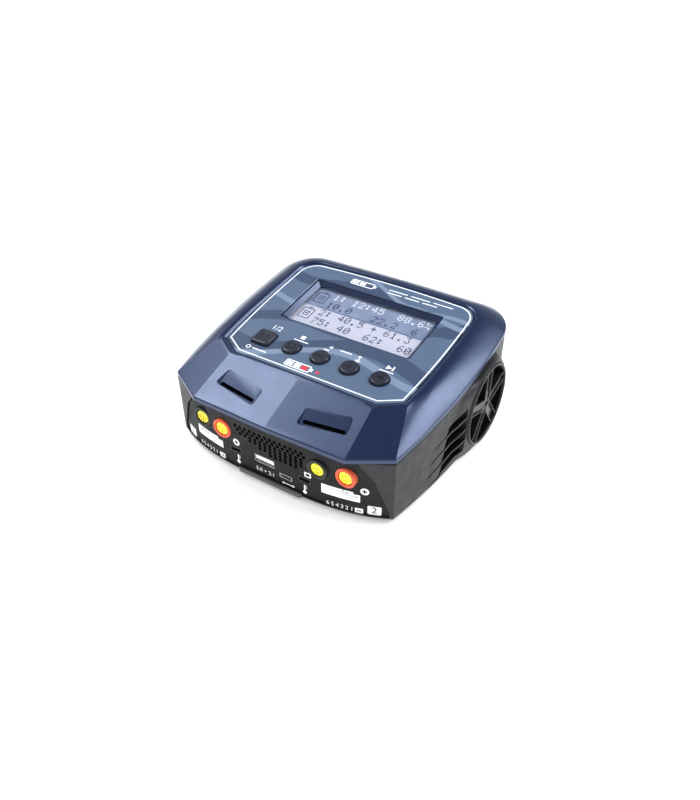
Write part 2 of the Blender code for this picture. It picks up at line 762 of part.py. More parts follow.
def buttons():
    """Caps with a retaining flange and a stem that reaches into the switch below."""
    for name, (x, up) in zip(BUTTONS, button_places()):
        square = name == BUTTONS[0]
        outline, size = (square_outline, SQUARE_HALF) if square else (round_outline, BUTTON_RADIUS)
        steps = [
            (STEM_RADIUS, -7.5), (STEM_RADIUS, -4.5), (FLANGE_RADIUS, -4.5), (FLANGE_RADIUS, -3.5),
            (size, -3.5), (size, BUTTON_PROUD - 0.7), (size - 0.3, BUTTON_PROUD - 0.2),
            (size - 0.9, BUTTON_PROUD),
        ]
        levels = [(outline(reach), height) for reach, height in steps]
        pivot = FACE_FRAME @ Vector((x, up, 0))
        stored(name, stepped(x, up, levels), "button_plastic", pivot)
        body = on_control_face(block((x, up, -7.3), (6.2, 6.2, 3.4)))
        switch = stored(f"tact_switch_{name.split('_')[0]}", body)
        well = on_control_face(prism([(x + px, up + py) for px, py in polygon(16, 2.4)], -8.6, 0))
        cut(switch, tool(well))
        finished(switch, "steel")


# ---------------------------------------------------------------- front sockets


def banana_sockets():
    for name, x in SOCKETS.items():
        face = front_curve(x, PANEL_FACE_Y)
        colour = "red_plastic" if name.endswith("positive") else "case_plastic"
        # Distances along the axis grow towards the front, from the face of the panel.
        outer, proud = SOCKET_RADIUS, SOCKET_PROUD
        tube = [(4.0, -14), (outer, -14), (outer, proud - 0.4), (outer - 0.4, proud), (4.0, proud)]
        centre = (x, face, SOCKET_Z)
        insulator = turned(tube, 20, closed=True)
        stored(f"socket_insulator_{name}", placed(insulator, centre, "Y"), colour)
        bore = [(2.3, proud - 0.4), (2.05, proud - 0.7), (2.05, -12), (0, -12)]
        sleeve = [(0, -20), (3.7, -20), (3.7, proud - 0.8), (3.3, proud - 0.4), *bore]
        stored(f"socket_contact_{name}", placed(turned(sleeve, 16), centre, "Y"), "gold")


def header_outline(half_x, half_z, step_x, step_z):
    """Rectangle whose upper right corner is stepped down."""
    stepped_corner = [(half_x, step_z), (step_x, step_z), (step_x, half_z)]
    return [(-half_x, -half_z), (half_x, -half_z), *stepped_corner, (-half_x, half_z)]


def panel_front(x, reach):
    """The space before the front panel's face, over a stretch of its width."""
    rings = []
    for i in range(7):
        here = x - reach + reach * i / 3
        face = front_curve(here, PANEL_FACE_Y) + 0.2
        rings.append([(here, -80, 5), (here, face, 5), (here, face, 20), (here, -80, 20)])
    return ring_loft(rings)


def small_ports():
    width, height, depth = HEADER_SIZE
    half_x, half_z = width / 2, height / 2
    for name, side in (("a", -1), ("b", 1)):
        x = side * HEADER_X
        # The back is straight, on the board; the front follows the curved panel, just behind its face.
        back = front_curve(HEADER_X + half_x, PANEL_FACE_Y) - 1.2 + depth
        step_x, step_z = half_x - HEADER_NOTCH, half_z - HEADER_STEP
        outline = header_outline(half_x, half_z, step_x, step_z)
        cavity = header_outline(half_x - 1, half_z - 0.8, step_x - 0.8, step_z - 0.8)
        solids = []
        for shape, far in ((outline, back), (cavity, back - 1.8)):
            solids.append(facing_front([(x + px, HEADER_Z + pz) for px, pz in shape], -70, far))
        header = stored(f"balance_header_{name}", solids[0])
        cut(header, tool(solids[1]), tool(panel_front(x, half_x + 1)))
        finished(header, "white_nylon")
        x = side * TEMP_X
        face = front_curve(x, PANEL_FACE_Y)
        socket = stored(f"temperature_socket_{name}", block((x, face + 4, TEMP_Z), (8.0, 8.0, 3.6)))
        cut(socket, tool(block((x, face, TEMP_Z), (6.4, 12.0, 2.2))))
        finished(socket, "case_plastic")

    face = front_curve(USB_X, PANEL_FACE_Y) + 0.5
    shell = stored("usb_shell", block((USB_X, face + 6.5, USB_Z), (12.8, 13.0, 5.4)))
    cut(shell, tool(block((USB_X, face + 5.5, USB_Z), (11.8, 13.0, 4.4))))
    finished(shell, "steel")
    stored("usb_tongue", block((USB_X, face + 5.9, USB_Z + 0.5), (11.0, 11.0, 1.9)), "white_nylon")
    face = front_curve(MICRO_X, PANEL_FACE_Y)
    micro = stored("micro_usb_shell", block((MICRO_X, face + 3, MICRO_Z), (7.6, 6.0, 2.6)))
    cut(micro, tool(block((MICRO_X, face + 2, MICRO_Z), (6.8, 6.0, 1.8))))
    finished(micro, "steel")


# ---------------------------------------------------------------- rear inlets


def rear_inlets():
    x, z = MAINS
    inlet = stored("mains_inlet", block((x, REAR_FACE_Y + 0.8, z), (31.0, 1.0, 24.0)))
    joined(inlet, tool(block((x, 58.0, z), (27.0, 19.0, 20.0))))
    half = [(12.2, -8.4), (12.2, 4.2), (8.2, 8.4)]
    outline = half + [(-px, pz) for px, pz in reversed(half)]
    cavity = ring_loft([[(x + px, y, z + pz) for px, pz in outline] for y in (52.5, 75)])
    cut(inlet, tool(cavity))
    finished(inlet, "case_plastic")
    for name, dx, dz in (("line", 7.0, -1.6), ("neutral", -7.0, -1.6), ("earth", 0.0, 2.4)):
        pin = block((x + dx, 59.5, z + dz), (2.0, 13.0, 4.0))
        stored(f"mains_pin_{name}", pin, "steel")
    x, z = DC
    inlet = stored("dc_inlet", block((x, REAR_FACE_Y + 0.8, z), (21.0, 1.0, 12.6)))
    joined(inlet, tool(block((x, 60.5, z), (16.0, 14.0, 8.2))))
    cut(inlet, tool(block((x, 66, z), (13.6, 16.0, 5.8))))
    pins = [placed(rod(1.75, -63.5, -54, 12), (x + dx, 0, z), "Y") for dx in (-3.6, 3.6)]
    joined(inlet, tool(*pins))
    finished(inlet, "case_plastic")


# ---------------------------------------------------------------- power electronics


def electronics():
    low = BOARD_TOP + GAP
    board = box((-52.5, 52.5), (-57.5, 50.5), (BOARD_TOP - 1.6, BOARD_TOP))
    stored("main_board", board, "circuit_board")

    x, y = -27, 12
    core = stored("transformer_core", block((x, y, low + 14), (34, 14, 28)))
    cut(core, tool(*[block((x + s * 8.6, y, low + 14), (7.2, 20, 18)) for s in (1, -1)]))
    finished(core, "ferrite")
    winding = stored("transformer_winding", block((x, y, low + 14), (22.6, 26, 17.2)))
    cut(winding, tool(block((x, y, low + 14), (10.6, 14.8, 30))))
    finished(winding, "winding")

    sink = stored("heat_sink", block((22, 10, low + 3), (44, 36, 3)))
    blades = [block((2.4 + 5.6 * i, 10, low + 12), (2.0, 35.4, 17)) for i in range(8)]
    joined(sink, tool(*blades))
    finished(sink, "aluminium")

    can = [(0, low), (8.6, low), (9.0, low + 0.6), (9.0, low + 1.6), (8.6, low + 2.4), (9.0, low + 3.2),
           (9.0, low + 24.2), (8.4, low + 25), (7.4, low + 24.7), (0, low + 24.7)]
    stored("mains_capacitor", placed(turned(can, 20), (-34, -28, 0)), "capacitor_sleeve")
    coil = [(4.6, low + 0.6), (5.2, low), (9.6, low), (10.4, low + 0.9), (10.4, low + 7.1), (9.6, low + 8),
            (5.2, low + 8), (4.6, low + 7.4)]
    stored("output_inductor", placed(turned(coil, 20, closed=True), (18, -30, 0)), "winding")


top_cover()
overlay_panel()
base_shell()
front_panel()
rear_panel()
feet_and_screws()
grilles()
fan()
display()
buttons()
banana_sockets()
small_ports()
rear_inlets()
electronics()
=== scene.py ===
"""Looks of a two-channel balance battery charger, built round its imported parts.

Shapes are drawn in millimetres in the part's own frame and stored in metres: X to the right,
the sockets face -Y, Z is up, and the feet stand on z = 0.
"""

import json
import math

import bmesh
import bpy
from mathutils import Matrix, Vector

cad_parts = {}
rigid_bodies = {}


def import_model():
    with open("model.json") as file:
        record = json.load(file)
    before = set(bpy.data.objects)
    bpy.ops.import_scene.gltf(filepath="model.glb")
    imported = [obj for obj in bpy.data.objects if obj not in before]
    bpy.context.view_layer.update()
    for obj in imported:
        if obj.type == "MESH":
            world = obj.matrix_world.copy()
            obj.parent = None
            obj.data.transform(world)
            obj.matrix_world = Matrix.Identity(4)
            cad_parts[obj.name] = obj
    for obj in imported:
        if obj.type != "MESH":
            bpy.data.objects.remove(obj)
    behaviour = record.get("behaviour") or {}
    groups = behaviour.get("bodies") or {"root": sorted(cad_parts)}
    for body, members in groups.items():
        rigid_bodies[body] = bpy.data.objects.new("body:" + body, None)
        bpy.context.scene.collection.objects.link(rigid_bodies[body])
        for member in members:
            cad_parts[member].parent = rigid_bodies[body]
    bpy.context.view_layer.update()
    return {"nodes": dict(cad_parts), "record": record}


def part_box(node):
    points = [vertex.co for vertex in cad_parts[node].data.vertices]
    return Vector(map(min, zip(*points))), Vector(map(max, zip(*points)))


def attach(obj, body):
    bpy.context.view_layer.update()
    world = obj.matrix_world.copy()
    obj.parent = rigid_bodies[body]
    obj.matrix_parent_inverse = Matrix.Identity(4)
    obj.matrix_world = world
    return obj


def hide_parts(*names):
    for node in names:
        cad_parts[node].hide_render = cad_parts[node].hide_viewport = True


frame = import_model()
NODES = frame["nodes"]

MM = 0.001
GAP = 0.3

# Case planes: the seam, the lip and the control face rise together to the rear.
CORNER_Y = -56.1
RISE = 0.1363
TILT = math.atan(RISE)
SEAM_Z = 38.0
LIP_Z = 41.0
FACE_Z = 47.0
RECESS_DEPTH = 0.8
CEILING_DEPTH = 3.2
WALL = 2.2
FACE_FRAME = Matrix.Translation((0, CORNER_Y, FACE_Z)) @ Matrix.Rotation(TILT, 4, "X")
FRONT_POWER = 3.2
FRONT_BOW = 11.2
CORNER_X = 66.5
PANEL_FACE_Y = -66.6
KINK_X = 45.5
FACET_HOLLOW = 0.3

BUTTON_Y = -19.4
BUTTON_PITCH = 17.8
BUTTON_RADIUS = 4.9
SQUARE_HALF = 5.4
BUTTON_CORNER = 1.9
BUTTON_PROUD = 1.8
BUTTON_XS = [BUTTON_PITCH * (i - 2) for i in range(5)]

WINDOW_HALF = 40.7
WINDOW_Y = (0.9, 39.6)
SOCKET_Z = 25.0
SOCKETS = {"a_negative": -44.0, "a_positive": -29.3, "b_negative": 29.3, "b_positive": 44.0}
SOCKET_RADIUS = 5.6
SOCKET_PROUD = 1.1
HEADER_X = 40.8
HEADER_Z = 13.5
WHEEL = (25.5, 24.7)


def rising(height):
    """Height at y of a plane parallel to the control face, from its height at the front corner."""
    return lambda y: height + (y - CORNER_Y) * RISE


def on_face(y):
    """Distance up the control face of the point above y."""
    return (y - CORNER_Y) / math.cos(TILT)


# ---------------------------------------------------------------- materials


class Shader:
    """A node material: its Principled shader, and short ways to add and join nodes."""

    def __init__(self, name, colour, roughness, metallic=0.0, **sockets):
        self.material = bpy.data.materials.new(name)
        self.material.use_nodes = True
        self.material.diffuse_color = (*colour, 1)
        self.tree = self.material.node_tree
        self.out = self.tree.nodes["Principled BSDF"]
        self.set(self.out, Metallic=metallic, Roughness=roughness, **sockets)
        self.out.inputs["Base Color"].default_value = (*colour, 1)
        self.where = self.tree.nodes.new("ShaderNodeTexCoord").outputs["Object"]

    def join(self, socket, value):
        """Links an output to the socket, or gives the socket a value of its own."""
        if isinstance(value, bpy.types.NodeSocket):
            self.tree.links.new(value, socket)
        else:
            socket.default_value = value

    def set(self, node, **values):
        for name, value in values.items():
            self.join(node.inputs[name.replace("_", " ")], value)

    def add(self, kind, output=0, **values):
        node = self.tree.nodes.new("ShaderNode" + kind)
        self.set(node, **values)
        return node.outputs[output]

    def math(self, operation, *values):
        node = self.tree.nodes.new("ShaderNodeMath")
        node.operation = operation
        for socket, value in zip(node.inputs, values):
            self.join(socket, value)
        return node.outputs[0]

    def noise(self, size, detail=3.0, stretch=None):
        """Noise whose features are about size millimetres across."""
        where = self.where
        if stretch:
            where = self.add("Mapping", Vector=where, Scale=stretch)
        return self.add("TexNoise", Vector=where, Scale=1000.0 / size, Detail=detail)

    def ramp(self, value, low, high, start=0.0, end=1.0):
        """Value mapped from low..high to start..end, and held there outside."""
        node = self.tree.nodes.new("ShaderNodeMapRange")
        node.interpolation_type = "SMOOTHSTEP"
        for socket, given in zip(node.inputs, (value, low, high, start, end)):
            self.join(socket, given)
        return node.outputs[0]

    def mix(self, share, first, second):
        node = self.tree.nodes.new("ShaderNodeMix")
        node.data_type = "RGBA"
        for place, value in zip((0, 6, 7), (share, first, second)):
            self.join(node.inputs[place], (*value, 1) if isinstance(value, tuple) else value)
        return node.outputs[2]

    def bump(self, height, depth):
        """Gives the surface relief of depth millimetres."""
        self.set(self.out, Normal=self.add("Bump", Height=height, Strength=1.0, Distance=depth * MM))

    def colour(self, value):
        self.set(self.out, Base_Color=value)

    def roughness(self, value):
        self.set(self.out, Roughness=value)


def shade(colour, factor):
    return tuple(c * factor for c in colour)


def moulded(name, colour, roughness, grain, relief, wear=0.12, **sockets):
    """Moulded or machined surface: fine grain in relief, faint blotches, uneven gloss."""
    s = Shader(name, colour, roughness, **sockets)
    blotches = s.noise(14.0)
    fine = s.noise(grain, 4.0)
    tone = s.mix(s.ramp(blotches, 0.35, 0.65), shade(colour, 1 - wear), shade(colour, 1 + wear))
    s.colour(s.mix(s.ramp(fine, 0.55, 0.8, 0, 0.5), tone, shade(colour, 1 + 4 * wear)))
    s.roughness(s.ramp(s.noise(6.0), 0.3, 0.7, roughness * 0.88, min(1.0, roughness * 1.14)))
    s.bump(fine, relief)
    return s.material


FLAKE = 0.25


def cover_paint():
    """Metallic navy paint: fine flakes that catch the light, under a soft clear coat."""
    navy = (0.0095, 0.0215, 0.071)
    s = Shader("cover_paint", navy, 0.3, 0.3, Coat_Weight=0.3, Coat_Roughness=0.16, Specular_IOR_Level=1.0,
               Specular_Tint=(0.72, 0.82, 1.0, 1.0))
    flakes = s.add("TexVoronoi", "Color", Vector=s.where, Scale=1000.0 / FLAKE)
    sparkle = s.add("SeparateColor", "Red", Color=flakes)
    s.colour(s.mix(s.ramp(sparkle, 0.2, 1.0), shade(navy, 0.85), shade(navy, 1.3)))
    s.roughness(s.ramp(s.noise(9.0), 0.3, 0.7, 0.28, 0.32))
    s.bump(s.noise(0.6, 2.0), 0.0012)
    return s.material


def overlay_film():
    """Printed film: grey-blue ground under sweeping bands of lighter and darker ink."""
    ground = (0.078, 0.124, 0.205)
    s = Shader("overlay_film", ground, 0.42, Coat_Weight=0.25, Coat_Roughness=0.3)
    place = s.add("SeparateXYZ", "X", Vector=s.where).node
    x = s.math("MULTIPLY", place.outputs["X"], 1000.0)
    y = s.math("MULTIPLY", place.outputs["Y"], 1000.0)

    def band(offset, slope, swing, wave, phase, low, high):
        """1 inside a wavy band between two distances from its centre line."""
        swell = s.math("MULTIPLY", s.math("SINE", s.math("MULTIPLY_ADD", x, wave, phase)), swing)
        line = s.math("ADD", s.math("MULTIPLY_ADD", x, slope, offset), swell)
        away = s.math("SUBTRACT", y, line)
        past_low = s.ramp(away, low - 0.25, low + 0.25)
        return s.math("MULTIPLY", past_low, s.ramp(away, high - 0.25, high + 0.25, 1, 0))

    colour = s.mix(s.ramp(s.noise(0.5, 2.0), 0.3, 0.7), shade(ground, 0.94), shade(ground, 1.06))
    swirls = {
        (0.038, 0.066, 0.128): [(-12, 0.10, 9, 0.052, 0.6, -7, 4), (36, -0.12, 6, 0.075, 2.0, -3.5, 4.5),
                                (8, 0.35, 7, 0.06, 4.0, -4, 5)],
        (0.165, 0.23, 0.335): [(-20, 0.16, 8, 0.058, 1.2, -2.5, 2.2), (27, 0.22, 7, 0.07, 0.4, -1.5, 2.4),
                               (46, -0.2, 4, 0.09, 3.0, -1.2, 1.8)],
    }
    for ink, bands in swirls.items():
        for values in bands:
            colour = s.mix(band(*values), colour, ink)
    s.colour(colour)
    s.roughness(s.ramp(s.noise(5.0), 0.3, 0.7, 0.38, 0.46))
    s.bump(s.noise(0.35, 2.0), 0.006)
    return s.material


def lcd_surface():
    """Character display: lavender ground with a darker upper half and a faint dot grid."""
    pale, dusk = (0.64, 0.64, 0.74), (0.22, 0.275, 0.41)
    s = Shader("lcd", pale, 0.28, Coat_Weight=0.4, Coat_Roughness=0.1)
    place = s.add("SeparateXYZ", "X", Vector=s.where).node
    upper = s.ramp(place.outputs["Y"], 0.0217, 0.0221)
    tone = s.mix(upper, pale, dusk)
    tone = s.mix(s.ramp(s.noise(22.0), 0.3, 0.7, 0, 0.35), tone, (0.48, 0.52, 0.68))
    grid = [s.math("ABSOLUTE", s.math("SINE", s.math("MULTIPLY", place.outputs[axis], math.pi / 0.00055)))
            for axis in ("X", "Y")]
    lines = s.ramp(s.math("MINIMUM", *grid), 0.0, 0.3, 1, 0)
    s.colour(s.mix(s.math("MULTIPLY", lines, 0.18), tone, (0.3, 0.33, 0.45)))
    return s.material


def brushed(name, colour, roughness, stretch):
    """Drawn or rolled metal, streaked along one axis."""
    s = Shader(name, colour, roughness, 1.0)
    streaks = s.noise(1.2, 5.0, stretch)
    s.colour(s.mix(s.ramp(streaks, 0.3, 0.7), shade(colour, 0.82), shade(colour, 1.08)))
    s.roughness(s.ramp(streaks, 0.3, 0.7, roughness * 0.8, roughness * 1.3))
    s.bump(streaks, 0.01)
    return s.material


def circuit_board():
    """Green solder mask over a faint pattern of copper tracks."""
    mask = (0.012, 0.12, 0.05)
    s = Shader("circuit_board", mask, 0.35, Coat_Weight=0.3, Coat_Roughness=0.2)
    tracks = s.add("TexBrick", "Fac", Vector=s.where, Scale=260.0, Mortar_Size=0.06)
    s.colour(s.mix(tracks, shade(mask, 0.8), shade(mask, 1.9)))
    s.roughness(s.ramp(s.noise(3.0), 0.3, 0.7, 0.3, 0.42))
    s.bump(tracks, 0.04)
    return s.material


def wound_wire():
    """Enamelled copper wire under yellow tape."""
    amber = (0.62, 0.36, 0.05)
    s = Shader("winding", amber, 0.4, Coat_Weight=0.3, Coat_Roughness=0.25)
    turns = s.add("TexWave", "Fac", Vector=s.where, Scale=300.0, Distortion=0.6)
    s.colour(s.mix(turns, shade(amber, 0.55), shade(amber, 1.15)))
    s.roughness(s.ramp(turns, 0.0, 1.0, 0.34, 0.5))
    s.bump(turns, 0.1)
    return s.material


def grille_plastic():
    """Glossy black moulding whose outermost parts, rib tops and rim, get a paler satin: a painted highlight
    for the light on their rounded edges.
    """
    black = (0.009, 0.0092, 0.01)
    s = Shader("grille_plastic", black, 0.25, Specular_IOR_Level=0.35)
    place = s.add("SeparateXYZ", "X", Vector=s.where)
    # Painted highlight: the outermost parts turn paler, standing for the light caught by their rounded
    # edges.
    rib_highlight = s.ramp(s.math("ABSOLUTE", place), 0.0757, 0.0761)
    rib_highlight = s.math("MULTIPLY", rib_highlight, s.ramp(s.noise(1.5), 0.2, 0.6, 0.75, 1.0))
    s.colour(s.mix(rib_highlight, black, (0.045, 0.045, 0.048)))
    s.roughness(s.math("MULTIPLY_ADD", rib_highlight, 0.25, 0.18))
    s.bump(s.noise(0.5, 3.0), 0.004)
    return s.material


def clear_window():
    s = Shader("clear_window", (0.93, 0.95, 1.0), 0.04, Transmission_Weight=1.0, IOR=1.1, Alpha=0.25)
    s.roughness(s.ramp(s.noise(20.0), 0.3, 0.7, 0.03, 0.07))
    return s.material


# Colour, roughness, grain in millimetres, relief and wear of the moulded and printed surfaces.
MOULDED = {
    "case_plastic": ((0.019, 0.019, 0.0205), 0.46, 0.5, 0.03, 0.06),
    "panel_plastic": ((0.006, 0.006, 0.0068), 0.5, 0.7, 0.04, 0.15),
    "mesh_plastic": ((0.008, 0.008, 0.009), 0.4, 0.5, 0.02, 0.2),
    "sill_plastic": ((0.075, 0.075, 0.079), 0.45, 0.5, 0.03, 0.12),
    "red_plastic": ((0.75, 0.115, 0.045), 0.36, 0.6, 0.012, 0.06),
    "black_nylon": ((0.017, 0.017, 0.018), 0.42, 0.6, 0.02),
    "white_nylon": ((0.9, 0.9, 0.89), 0.42, 0.8, 0.015, 0.03),
    "button_plastic": ((0.019, 0.021, 0.036), 0.34, 0.9, 0.004, 0.08),
    # Dark button signs: painted shade, for the shadow in engraved strokes.
    "sign_painted_shade": ((0.006, 0.006, 0.01), 0.3, 0.4, 0.004, 0.05),
    "white_ink": ((0.86, 0.88, 0.92), 0.4, 0.4, 0.004, 0.03),
    "mark_ink": ((0.9, 0.905, 0.92), 0.5, 0.4, 0.004, 0.05),
    "red_ink": ((0.72, 0.03, 0.035), 0.45, 0.4, 0.004, 0.06),
    "lcd_ink": ((0.012, 0.02, 0.1), 0.3, 0.5, 0.002, 0.05),
    "gold_face": ((0.93, 0.83, 0.03), 0.3, 0.8, 0.01, 0.08),
    "rubber": ((0.018, 0.018, 0.018), 0.82, 0.4, 0.04),
    "ferrite": ((0.06, 0.06, 0.065), 0.6, 0.9, 0.05),
    "capacitor_sleeve": ((0.02, 0.03, 0.12), 0.3, 2.0, 0.01),
}
FINISH = {
    "case_plastic": {"Specular_IOR_Level": 0.4},
    "panel_plastic": {"Specular_IOR_Level": 0.25},
    "button_plastic": {"Coat_Weight": 0.35, "Coat_Roughness": 0.2},
    "gold_face": {"metallic": 0.25, "Coat_Weight": 0.4, "Coat_Roughness": 0.15},
    # White nylon glows faintly: painted light that brightens its shaded hollows.
    "white_nylon": {"Subsurface_Weight": 0.15, "Subsurface_Scale": 0.001, "Emission_Color": (1, 1, 1, 1),
                    "Emission_Strength": 0.2},
}
SURFACES = {name: moulded(name, *values, **FINISH.get(name, {})) for name, values in MOULDED.items()}
SURFACES.update({
    "cover_paint": cover_paint(),
    "grille_plastic": grille_plastic(),
    "overlay_film": overlay_film(),
    "clear_window": clear_window(),
    "lcd": lcd_surface(),
    "circuit_board": circuit_board(),
    "winding": wound_wire(),
    "steel": brushed("steel", (0.62, 0.62, 0.64), 0.28, (1, 12, 1)),
    "gold": brushed("gold", (0.98, 0.78, 0.1), 0.3, (1, 8, 1)),
    "aluminium": brushed("aluminium", (0.75, 0.76, 0.78), 0.32, (1, 10, 1)),
})


# ---------------------------------------------------------------- meshes


def stored(name, bm, surface=None, body="case", replaces=(), angle=30):
    """Object from a shape in millimetres. With a surface it is a finished piece, or else a helper."""
    bmesh.ops.recalc_face_normals(bm, faces=bm.faces)
    bm.transform(Matrix.Scale(MM, 4))
    mesh = bpy.data.meshes.new(name)
    bm.to_mesh(mesh)
    bm.free()
    made = bpy.data.objects.new(name, mesh)
    bpy.context.scene.collection.objects.link(made)
    if surface:
        finished(made, surface, body, replaces, angle)
    return made


def finished(made, surface, body="case", replaces=(), angle=30):
    made.data.materials.clear()
    made.data.materials.append(SURFACES[surface])
    made.data.shade_smooth()
    made.data.set_sharp_from_angle(angle=math.radians(angle))
    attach(made, body)
    if replaces:
        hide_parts(*replaces)
    return made


def combined(target, operation, *tools):
    """Boolean of the target with each tool in turn. The tools are used up."""
    for other in tools:
        modifier = target.modifiers.new("Boolean", "BOOLEAN")
        modifier.operation = operation
        modifier.object = other
    bpy.context.view_layer.update()
    graph = bpy.context.evaluated_depsgraph_get()
    mesh = bpy.data.meshes.new_from_object(target.evaluated_get(graph))
    target.modifiers.clear()
    target.data = mesh
    for other in tools:
        bpy.data.objects.remove(other)
    return target


def cut(target, *tools):
    return combined(target, "DIFFERENCE", *tools)


def merged(shapes):
    """One bmesh from several."""
    whole = bmesh.new()
    for shape in shapes:
        bmesh.ops.recalc_face_normals(shape, faces=shape.faces)
        mesh = bpy.data.meshes.new("helper")
        shape.to_mesh(mesh)
        shape.free()
        whole.from_mesh(mesh)
        bpy.data.meshes.remove(mesh)
    return whole


def tool(*shapes):
    return stored("helper", merged(shapes))


def softened(made, width, segments=2, angle=35):
    """Rounds a piece's edges by a width in millimetres."""
    bevel = made.modifiers.new("Edges", "BEVEL")
    bevel.width = width * MM
    bevel.segments = segments
    bevel.limit_method = "ANGLE"
    bevel.angle_limit = math.radians(angle)
    bevel.harden_normals = True
    return made


def ring_loft(rings, closed=False):
    """Solid through rings of equal length: capped at both ends, or closed into a ring."""
    bm = bmesh.new()
    made = [[bm.verts.new(point) for point in ring] for ring in rings]
    pairs = list(zip(made, made[1:]))
    if closed:
        pairs.append((made[-1], made[0]))
    for low, high in pairs:
        for i in range(len(low)):
            j = (i + 1) % len(low)
            bm.faces.new((low[i], low[j], high[j], high[i]))
    if not closed:
        bm.faces.new(made[0])
        bm.faces.new(made[-1])
    return bm


def raised(outline, height):
    """Plan outline at a height, which is a number or a function of y."""
    return [(x, y, height(y) if callable(height) else height) for x, y in outline]


def prism(outline, low, high):
    return ring_loft([raised(outline, low), raised(outline, high)])


def box(x, y, z):
    return prism([(x[0], y[0]), (x[1], y[0]), (x[1], y[1]), (x[0], y[1])], *z)


def block(centre, size):
    return box(*[(c - s / 2, c + s / 2) for c, s in zip(centre, size)])


AXES = {
    "X": Matrix(((0, 0, 1), (1, 0, 0), (0, 1, 0))).to_4x4(),
    "Y": Matrix(((1, 0, 0), (0, 0, -1), (0, 1, 0))).to_4x4(),
    "Z": Matrix.Identity(4),
}


def placed(bm, centre, axis="Z"):
    """Shape drawn about the origin along local Z. Axis "Y" sends local Z out of the front."""
    bm.transform(Matrix.Translation(centre) @ AXES[axis])
    return bm


def on_control_face(bm):
    """Shape drawn as (x, distance up the face, height above the face)."""
    bm.transform(FACE_FRAME)
    return bm


def turned(profile, steps=48, closed=False):
    """Solid of revolution about Z from (radius, z) points; closed for a ring."""
    bm = bmesh.new()
    loops = []
    for radius, z in profile:
        angles = [math.tau * i / steps for i in range(steps if radius > 0 else 1)]
        loops.append([bm.verts.new((radius * math.cos(a), radius * math.sin(a), z)) for a in angles])
    for low, high in zip(loops, loops[1:] + loops[:1] if closed else loops[1:]):
        for i in range(steps):
            j = (i + 1) % steps
            corners = [low[i % len(low)], low[j % len(low)], high[j % len(high)], high[i % len(high)]]
            bm.faces.new(list(dict.fromkeys(corners)))
    return bm


def polygon(count, radius, turn=0.0, centre=(0.0, 0.0)):
    angles = [turn + math.tau * i / count for i in range(count)]
    return [(centre[0] + radius * math.cos(a), centre[1] + radius * math.sin(a)) for a in angles]


def rod(radius, low, high, steps=32):
    return prism(polygon(steps, radius), low, high)


def rounded(half_x, half_y, radius, steps=4):
    """Rectangle about the origin with round corners."""
    points = []
    for sx, sy, start in ((1, 1, 0), (-1, 1, 1), (-1, -1, 2), (1, -1, 3)):
        for i in range(steps + 1):
            angle = math.pi / 2 * (start + i / steps)
            points.append((sx * (half_x - radius) + radius * math.cos(angle),
                           sy * (half_y - radius) + radius * math.sin(angle)))
    return points


def front_curve(x, centre_y=PANEL_FACE_Y):
    return centre_y + FRONT_BOW * (abs(x) / CORNER_X) ** FRONT_POWER


def inset(outline, distance):
    """Outline moved inwards by a distance, with mitred corners."""
    moved = []
    for i, point in enumerate(outline):
        here = Vector(point)
        before = (here - Vector(outline[i - 1])).normalized()
        after = (Vector(outline[(i + 1) % len(outline)]) - here).normalized()
        normals = [Vector((-edge.y, edge.x)) for edge in (before, after)]
        moved.append(tuple(here + (normals[0] + normals[1]) * distance / (1 + normals[0].dot(normals[1]))))
    return moved


FRONT_STEPS = (12, 5)
SIDE_STEPS = 26
ARC_STEPS = 14
REAR_STEPS = 4


def plan(front, side, rear_x, radius, rear_y, bow=0.0):
    """Case-like outline from front points, a bowed side, a round rear corner and a rear edge."""
    corner_x, corner_y = front[-1]
    side_x, side_y = side
    arc_x, arc_y = rear_x - radius, rear_y - bow - radius
    half = list(front)
    for i in range(1, SIDE_STEPS):
        y = corner_y + (arc_y - corner_y) * i / SIDE_STEPS
        reach, end_x = (corner_y, corner_x) if y < side_y else (arc_y, rear_x)
        half.append((side_x - (side_x - end_x) * ((y - side_y) / (reach - side_y)) ** 2, y))
    for i in range(ARC_STEPS + 1):
        angle = math.pi / 2 * i / ARC_STEPS
        half.append((arc_x + radius * math.cos(angle), arc_y + radius * math.sin(angle)))
    for i in range(1, REAR_STEPS + 1):
        share = 1 - i / REAR_STEPS
        half.append((arc_x * share, rear_y - bow * share ** 2))
    return half + [(-x, y) for x, y in reversed(half[1:-1])]


def straight_front(*points):
    """Front points along straight edges from the centre to the kink and on to the corner."""
    line = [Vector(points[0])]
    for a, b, steps in zip(points, points[1:], FRONT_STEPS):
        line += [Vector(a).lerp(Vector(b), (i + 1) / steps) for i in range(steps)]
    return [tuple(p) for p in line]


LIP = plan(straight_front((0, -68.35), (KINK_X, -67.4), (CORNER_X, CORNER_Y)),
           (73.5, 15), 72.4, 21, 68.35, 0.6)
RIM = plan(straight_front((0, -38.0), (43.5, -38.8), (57.6, -30.2)), (58.4, 8), 57.8, 12, 55.6, 1.5)
RECESS = plan(straight_front((0, -35.3), (42.9, -35.3), (54.7, -28.1)), (56.2, 8), 56.2, 11, 53.6, 1.5)
BASE = plan(
    [(CORNER_X * i / sum(FRONT_STEPS), front_curve(CORNER_X * i / sum(FRONT_STEPS), -67.4))
     for i in range(sum(FRONT_STEPS) + 1)],
    (73.3, 15), 72.2, 20.8, 68.15, 0.6,
)


# ---------------------------------------------------------------- cover


def rim_height(y):
    """Top of the ridge round the recess, a little higher at the front corners."""
    back = min(max((y + 30) / 80, 0), 1)
    return rising(FACE_Z)(y) + 1.6 - 0.8 * back


def hollow(i, count):
    """Share of the front facet's hollow at outline point i: none at its ends, all at its middle."""
    steps = min(i, count - i)
    if steps >= FRONT_STEPS[0]:
        return 0.0
    t = steps / FRONT_STEPS[0]
    return 4 * t * (1 - t)


